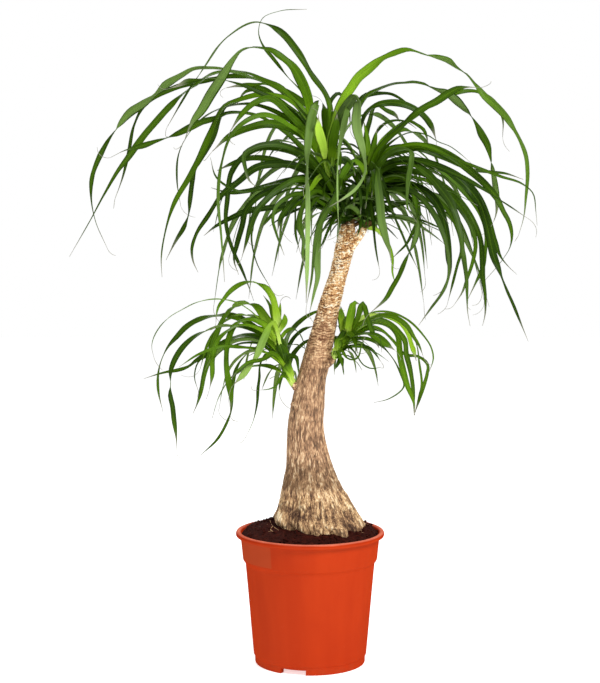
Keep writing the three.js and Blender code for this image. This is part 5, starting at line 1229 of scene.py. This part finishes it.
def make_trunk(name, z, columns, material):
    """A length of the trunk with its bark in relief. At the foot it spreads into uneven toes."""
    a, flat_z = (grid.ravel() for grid in np.meshgrid(circle(columns), z))
    x, r = trunk_outline(flat_z, a)
    plain = np.stack([x + r * np.cos(a), r * np.sin(a), flat_z], -1)
    out, crack, shade = bark_relief(a, flat_z, plain)
    low = 1 - step(*TOE_BARK, flat_z)
    for middle, wide, far in TOES:
        out = out + far * low * np.exp(-off(a, math.radians(middle), wide))
    toes = noise(np.stack([7 * np.cos(a), 7 * np.sin(a), flat_z / 60], -1), 51)
    r = r + np.where(flat_z < TOE_START, 0, out + low * TOE_ROUGH * (toes - 0.5))
    points = np.stack([x + r * np.cos(a), r * np.sin(a), flat_z], -1)
    points[:, 2] += low * 1.4 * (noise(plain / 4, 61) - 0.5)
    ends = [points[:columns].mean(0), points[-columns:].mean(0)]
    numbers = np.stack([crack, shade, flat_z * MM], -1)
    numbers = np.vstack([numbers, [[1, 0.4, end[2] * MM] for end in ends]])
    faces = closed_faces(len(z), columns)
    return mesh_piece(name, np.vstack([points, ends]), faces, material, {"bark": numbers})


BRANCH_ROWS, BRANCH_COLUMNS, BRANCH_SCALES, BRANCH_END, BRANCH_LOOK = 40, 56, 7, 3, 452


def make_branch(name, line, material, seed):
    """A side growth of the bark: a rough tube through its points, rounded off at its end. It takes
    the colours of the bark at BRANCH_LOOK where it is lower than that."""
    at, middle, r, ring, turn, spot = tube(line, BRANCH_ROWS, BRANCH_COLUMNS)
    ending = np.sqrt(np.clip((at[-1] - at) / BRANCH_END, 0.05, 1))
    r = r * np.where(at > at[-1] - BRANCH_END, ending, 1)
    flat = (middle[:, None] + ring * r[:, None, None]).reshape(-1, 3)
    across, up = turn.ravel() / (2 * math.pi) * BRANCH_SCALES, spot.ravel() / 3.4
    edge, tag, _ = cells(across, up, BRANCH_SCALES, seed)
    crack = step(0, 0.3, edge)
    fine = layered(flat / 2.2, 3, seed + 5) - 0.5
    lumps = layered(flat / 6, 2, seed + 9) - 0.5
    out = 0.7 * (crack - 0.8) + 0.9 * fine + 1.6 * lumps
    points = flat + ring.reshape(-1, 3) * out[:, None]
    shade = 0.55 + 0.4 * (tag - 0.5) + 0.8 * fine + 0.6 * lumps
    numbers = np.stack([crack, shade, np.maximum(points[:, 2], BRANCH_LOOK) * MM], -1)
    numbers = np.vstack([numbers, [1, 0.5, 0.46], [1, 0.5, 0.46]])
    points = np.vstack([points, middle[0], middle[-1]])
    faces = closed_faces(BRANCH_ROWS, BRANCH_COLUMNS, flip=True)
    return mesh_piece(name, points, faces, material, {"bark": numbers})


# Soil: its height by how far out it is, its rings of radius and height up the pot's wall, and its
# rings of radius, height and place across that go down under the trunk's foot.
MOUND = np.array([(60, 208.5), (74, 206.8), (86, 203.8), (96.5, 199), (101.3, 193.6)])
SOIL_TILT, SOIL_OUT, SOIL_SINK = 0.035, 101.5, 0.8
SOIL_COLUMNS, SOIL_ROWS, FOOT_AT, UNDER_FOOT = 220, 76, 204.0, 17
WALL = ((78.2, 9.35), (81.2, 17.3), (93, 152.6), (97, 158.5), (100.8, 190))
HOLLOW = ((46, 184, 10.0), (38, 151, 9.0), (36, 149.3, 9.0))
# How tall its lumps, its grains and the heap at the left of the foot are, and where the heap lies.
SOIL_LUMPS, SOIL_GRAINS, HEAP_TALL, HEAP_X, HEAP_Y = 5.0, 2.6, 4.5, (-58, 13), (-8, 26)


def soil_height(x, y):
    """The height of the mounded peat, which is a little higher at the back."""
    return np.interp(np.hypot(x, y), MOUND[:, 0], MOUND[:, 1]) + SOIL_TILT * y


def make_soil(material):
    """Peat that fills the pot and closes round the trunk's foot."""
    a = circle(SOIL_COLUMNS)
    middle, foot = trunk_outline(np.full(SOIL_COLUMNS, FOOT_AT), a)
    foot = foot - UNDER_FOOT
    inner = np.stack([middle + foot * np.cos(a), foot * np.sin(a)], -1)
    outer = np.stack([SOIL_OUT * np.cos(a), SOIL_OUT * np.sin(a)], -1)
    share = (np.arange(SOIL_ROWS + 1) / SOIL_ROWS)[:, None, None]
    flat = outer[None] * (1 - share) + inner[None] * share
    x, y = flat[:, :, 0], flat[:, :, 1]
    place = np.stack([x, y, np.zeros_like(x)], -1)
    lumps = layered(place / 12, 4, 71) - 0.5
    grains = layered(place / 2.4, 3, 81) - 0.5
    calm = step(0, 0.12, share[:, :, 0])
    heap = np.exp(-off(x, *HEAP_X) - off(y, *HEAP_Y))
    rough = SOIL_LUMPS * lumps + SOIL_GRAINS * grains + HEAP_TALL * heap
    top = soil_height(x, y) + rough * calm - SOIL_SINK
    surface = np.stack([x, y, top], -1)

    def ring(radius, z, x=0.0):
        return np.stack([x + radius * np.cos(a), radius * np.sin(a), np.full(len(a), z)], -1)

    rows = np.stack([ring(*row) for row in WALL] + list(surface) + [ring(*row) for row in HOLLOW])
    (_, floor_z), (_, deep_z, deep_x) = WALL[0], HOLLOW[-1]
    points = np.vstack([rows.reshape(-1, 3), [0, 0, floor_z], [deep_x, 0, deep_z]])
    faces = closed_faces(len(rows), SOIL_COLUMNS)
    return mesh_piece("soil_bed", points, faces, material), surface


# The clods: how many, their seed, their least size, how much larger they get, and the golden ratio of
# their corners. The fibres: how many, their seed, the step along a thread, and how far out they may be.
CRUMBS, CRUMB_SEED, CRUMB_LEAST, CRUMB_MORE, GOLDEN_EDGE = 620, 4211, 0.7, 2.3, 1.618
FIBRES, FIBRE_SEED, THREAD_STEP, POT_INSIDE = 18, 909, 1.6, 99


def make_crumbs(material, surface):
    """Small clods lying on the peat: uneven bodies of twelve corners."""
    draw = Draw(CRUMB_SEED)
    corners = np.array([[s, t * GOLDEN_EDGE, 0] for s in (-1, 1) for t in (-1, 1)], float)
    shape = unit(np.vstack([np.roll(corners, k, 1) for k in range(3)]))
    triangles = hull_faces(shape)
    points, faces = [], []
    rows, columns, _ = surface.shape
    for k in range(CRUMBS):
        i, j = int(draw(2, rows * 0.93)), int(draw(0, columns - 0.01))
        size = CRUMB_LEAST + CRUMB_MORE * draw(0, 1) ** 2.4
        squeeze = np.array([draw(0.8, 1.3), draw(0.8, 1.3), draw(0.55, 0.95)])
        uneven = np.array([draw(0.75, 1.2) for _ in shape])[:, None]
        faces.append(triangles + len(shape) * k)
        points.append(shape * size * squeeze * uneven + surface[i, j] + [0, 0, 0.35 * size])
    return mesh_piece("soil_crumbs", np.vstack(points), [np.vstack(faces)], material)


def hull_faces(shape):
    """The outward triangles of a small convex cloud of points."""
    found = []
    n = len(shape)
    for i in range(n):
        for j in range(i + 1, n):
            for k in range(j + 1, n):
                normal = np.cross(shape[j] - shape[i], shape[k] - shape[i])
                above = (shape - shape[i]) @ normal
                if (above < 1e-9).all():
                    found.append([i, j, k])
                elif (above > -1e-9).all():
                    found.append([i, k, j])
    return np.array(found)


def thread_rings(line, radius, sides=7):
    """A thin round thread through points, tapering at both ends."""
    line = np.array(line, float)
    run = runs(line)
    at = np.linspace(0, run[-1], max(8, int(run[-1] / THREAD_STEP)))
    middle = smooth(at, run, line)
    r = radius * (0.35 + 0.65 * np.sin(np.clip(at / run[-1], 0.06, 0.94) * math.pi) ** 0.5)
    return middle[:, None] + directions(middle, [0.3, 0.2, 1], sides) * r[:, None, None]


def thread_piece(name, threads, material):
    points, quads, thirds, first = [], [], [], 0
    for rings in threads:
        rows, sides = rings.shape[:2]
        points.append(np.vstack([rings.reshape(-1, 3), rings[0].mean(0), rings[-1].mean(0)]))
        round_it, over_ends = closed_faces(rows, sides, first)
        quads.append(round_it)
        thirds.append(over_ends)
        first += rows * sides + 2
    return mesh_piece(name, np.vstack(points), [np.vstack(quads), np.vstack(thirds)], material)


# Dry roots at the foot of the trunk: across, towards the back, and how far above the peat.
ROOTS = [
    [[-65, 2, 1], [-61, 3, 5], [-59.5, -6, 5], [-57, -18, 2.2], [-52, -33, 1], [-46, -45, 0.4]],
    [[-55, -30, 2.5], [-58, -36, 1], [-57, -44, 0.6], [-52, -52, 0.4]],
    [[-57, -12, 2.5], [-64, -14, 1.5], [-69, -12, 0.8], [-74, -16, 0.5]],
    [[76, 10, 3], [82, 8, 1], [87, 12, 0.5]],
    [[-20, 64, 3], [-26, 72, 1], [-24, 80, 0.5]],
]


def make_threads(material, surface):
    """The dry roots, and short fibres scattered over the peat."""
    draw, threads = Draw(FIBRE_SEED), []
    for root in ROOTS:
        line = [[x, y, soil_height(x, y) + above] for x, y, above in root]
        threads.append(thread_rings(line, draw(0.5, 0.9)))
    rows, columns, _ = surface.shape
    for _ in range(FIBRES):
        i, j = int(draw(3, rows * 0.9)), int(draw(0, columns - 0.01))
        line, heading = [surface[i, j] + [0, 0, 0.8]], draw(0, 2 * math.pi)
        for _ in range(3):
            heading += draw(-0.7, 0.7)
            hop = draw(1.2, 3.6)
            line.append(line[-1] + [hop * math.cos(heading), hop * math.sin(heading), draw(-0.5, 0.5)])
        if np.hypot(*line[-1][:2]) < POT_INSIDE:
            threads.append(thread_rings(line, draw(0.16, 0.34), 5))
    return thread_piece("root_threads", threads, material)


# Heads: their cores' rows, columns and leaf bases round, and how thick they are beside the CAD part's.
CORE_ROWS, CORE_COLUMNS, CORE_LEAVES = 60, 64, 6
CROWN_CORE, SHOOT_CORE = 0.92, 0.74


def make_core(name, head, material):
    """The leafy middle of a head: its core as overlapping leaf bases. A shoot's stalk is yellower."""
    crown = head in NODES["crown"]
    at, middle, r, ring, turn, spot = tube(HEADS[head], CORE_ROWS, CORE_COLUMNS)
    r = r * (CROWN_CORE if crown else SHOOT_CORE)
    if crown:
        r = r * (0.55 + 0.45 * step(0, 14, at))
    across = turn / (2 * math.pi) * CORE_LEAVES
    edge, tag, _ = cells((across + spot / 40).ravel(), (spot / 16).ravel(), CORE_LEAVES, 7)
    ridge = (step(0, 0.5, edge) - 0.6 + 0.6 * (tag - 0.5)).reshape(turn.shape)
    points = (middle[:, None] + ring * (r[:, None] + 1.6 * ridge)[:, :, None]).reshape(-1, 3)
    blade = np.stack([2 * (across % 1) - 1, np.full_like(spot, 0.5), spot * MM], -1).reshape(-1, 3)
    stalk = (0 if crown else 2.3) * (1 - step(4, 40, spot.ravel()))
    kind = np.stack([0.12 * tag - 0.02 + stalk, 0.12 * stalk, tag], -1)
    points = np.vstack([points, middle[0], middle[-1]])
    blade = np.vstack([blade, [0, 0.5, 0], [0, 0.5, 0.1]])
    kind = np.vstack([kind, [stalk[0], 0.12 * stalk[0], 0.5], [0.1, 0, 0.5]])
    faces = closed_faces(CORE_ROWS, CORE_COLUMNS, flip=True)
    return mesh_piece(name, points, faces, material, {"blade": blade, "kind": kind})


FILAMENT_HOPS, FILAMENT_CHANCE = 5, 0.55


def filaments(name, leaves, seed, box, material):
    """Thread-thin dry ends that curl away from some of the leaf tips."""
    draw, threads = Draw(seed), []
    for leaf in leaves:
        start, way = leaf["points"][-1], unit(leaf["points"][-1] - leaf["points"][-2])
        turn = unit(np.array([draw(-1, 1), draw(-1, 1), draw(-1, 1)]))
        hop, wanted = draw(3, 8), draw(0, 1)
        line = [start - 2 * way, start]
        for _ in range(FILAMENT_HOPS):
            way = unit(way + 0.42 * np.cross(turn, way) + [0, 0, -0.04])
            line.append(line[-1] + hop * way)
        if wanted < FILAMENT_CHANCE and within(np.array(line), box, 1):
            threads.append(thread_rings(line, draw(0.3, 0.45), 5))
    return thread_piece(name, threads, material)


def husks(heads, count, seed):
    """Brown leaf-base husks round the foot of each head."""
    draw, made = Draw(seed), []
    for head in heads:
        for i in range(count):
            up, compass = draw(0.0, 0.14), 360 * ((i * GOLDEN) % 1) + draw(-14, 14)
            curl, long, slope, droop = draw(-20, 20), draw(15, 34), draw(10, 74), draw(-30, 40)
            full, twist, phase = draw(7, 12), draw(-20, 20), draw(0, 6)
            leaf = rule_leaf(head, up, compass, curl, long, slope, droop, full, twist, phase)
            made.append({**leaf, "youth": 0.5, "pale": 0.0})
    return made


# The plant.
bark = bark_material("bark_skin")
peat = soil_material()
root_fibre = thread_material("root_fibre", "7a5038 b08860 d8b48c f0d8b4")
tip_hair = thread_material("tip_hair", "5c5a4c 84826f a09e8c b8b6a4")
crown_green = leaf_material("crown_green", "223a04 507606 88b422 c0e454 98b868 8c8a78", 0.4)
shoot_green = leaf_material("shoot_green", "2e4c08 669012 a2c834 d4f076 a4c06c 8c8a78", 0.4)

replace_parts(make_pot(pot_material()), "pot")
soil, soil_surface = make_soil(peat)
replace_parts(soil, "soil")
make_crumbs(peat, soil_surface)
make_threads(root_fibre, soil_surface)
# The heights of the rows in the trunk's two lengths, which overlap a little.
LOWER = np.concatenate([[150, 172, 186], np.arange(197, 262, 1.3), np.arange(262, 428, 1.6)])
UPPER = np.concatenate([np.arange(424, 663.5, 0.9), [664]])
LOWER_COLUMNS, UPPER_COLUMNS = 460, 168
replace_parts(make_trunk("trunk_bark", LOWER, LOWER_COLUMNS, bark), "trunk")
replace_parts(make_trunk("stem_bark", UPPER, UPPER_COLUMNS, bark), "trunk")
BRANCH_NAMES = ("fork_bark", "left_stub_bark", "right_stub_bark", "knob_bark")
BRANCH_SEEDS = (3, 5, 7, 9)
for name, line, seed in zip(BRANCH_NAMES, BRANCHES, BRANCH_SEEDS):
    make_branch(name, line, bark, seed)

# Inner leaves: head, count, seed, lengths, widths, compass, places up the head and slopes.
INNER = [
    ("main", 50, 101, (60, 160), (7, 11), (0, 360), (0.22, 0.95), (16, 78)),
    ("right", 48, 202, (60, 170), (7, 10), (0, 360), (0.22, 0.95), (16, 78)),
    ("right", 26, 515, (90, 185), (3, 5.5), (-50, 60), (0.5, 1), (40, 66)),
    ("left", 14, 303, (40, 100), (5, 8), (30, 190), (0.22, 0.95), (16, 78)),
    ("low", 12, 404, (36, 90), (5, 8), (10, 160), (0.22, 0.95), (16, 78)),
]
INNER_STEP, HUSK_STEP, HUSKS, HUSK_SEED = 7.0, 2.0, 22, 77
FILAMENT_SEEDS = {"main": 108, "right": 209, "left": 310, "low": 411}
leaves = make_leaves()
for node, heads in NODES.items():
    green = crown_green if node == "crown" else shoot_green
    box = [np.array(corner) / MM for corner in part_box(node)]
    for head in heads:
        mine = [leaf for leaf in leaves[node] if leaf["head"] == head]
        full = [tone(leaf, k) for k, leaf in enumerate(mine)]
        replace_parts(leaf_piece(head + "_leaves", full, green), node)
        inner = [leaf for row in INNER if row[0] == head for leaf in inner_leaves(box, *row)]
        inner = [tone(leaf, k) for k, leaf in enumerate(inner)]
        leaf_piece(head + "_inner_leaves", inner, green, INNER_STEP)
        make_core(head + "_core", head, green)
        filaments(head + "_filaments", mine, FILAMENT_SEEDS[head], box, tip_hair)
husk = leaf_material("husk_brown", "2e2010 5a4124 86683c a88858 6f5a38 3c2a18", 0.8)
brown = husks(NODES["crown"], HUSKS, HUSK_SEED)
leaf_piece("crown_husks", brown, husk, HUSK_STEP)

# Floor.
bpy.ops.mesh.primitive_plane_add(size=12, location=(0, 0, 0))
floor = bpy.context.active_object
floor.name = "floor"
floor.data.materials.append(floor_material())
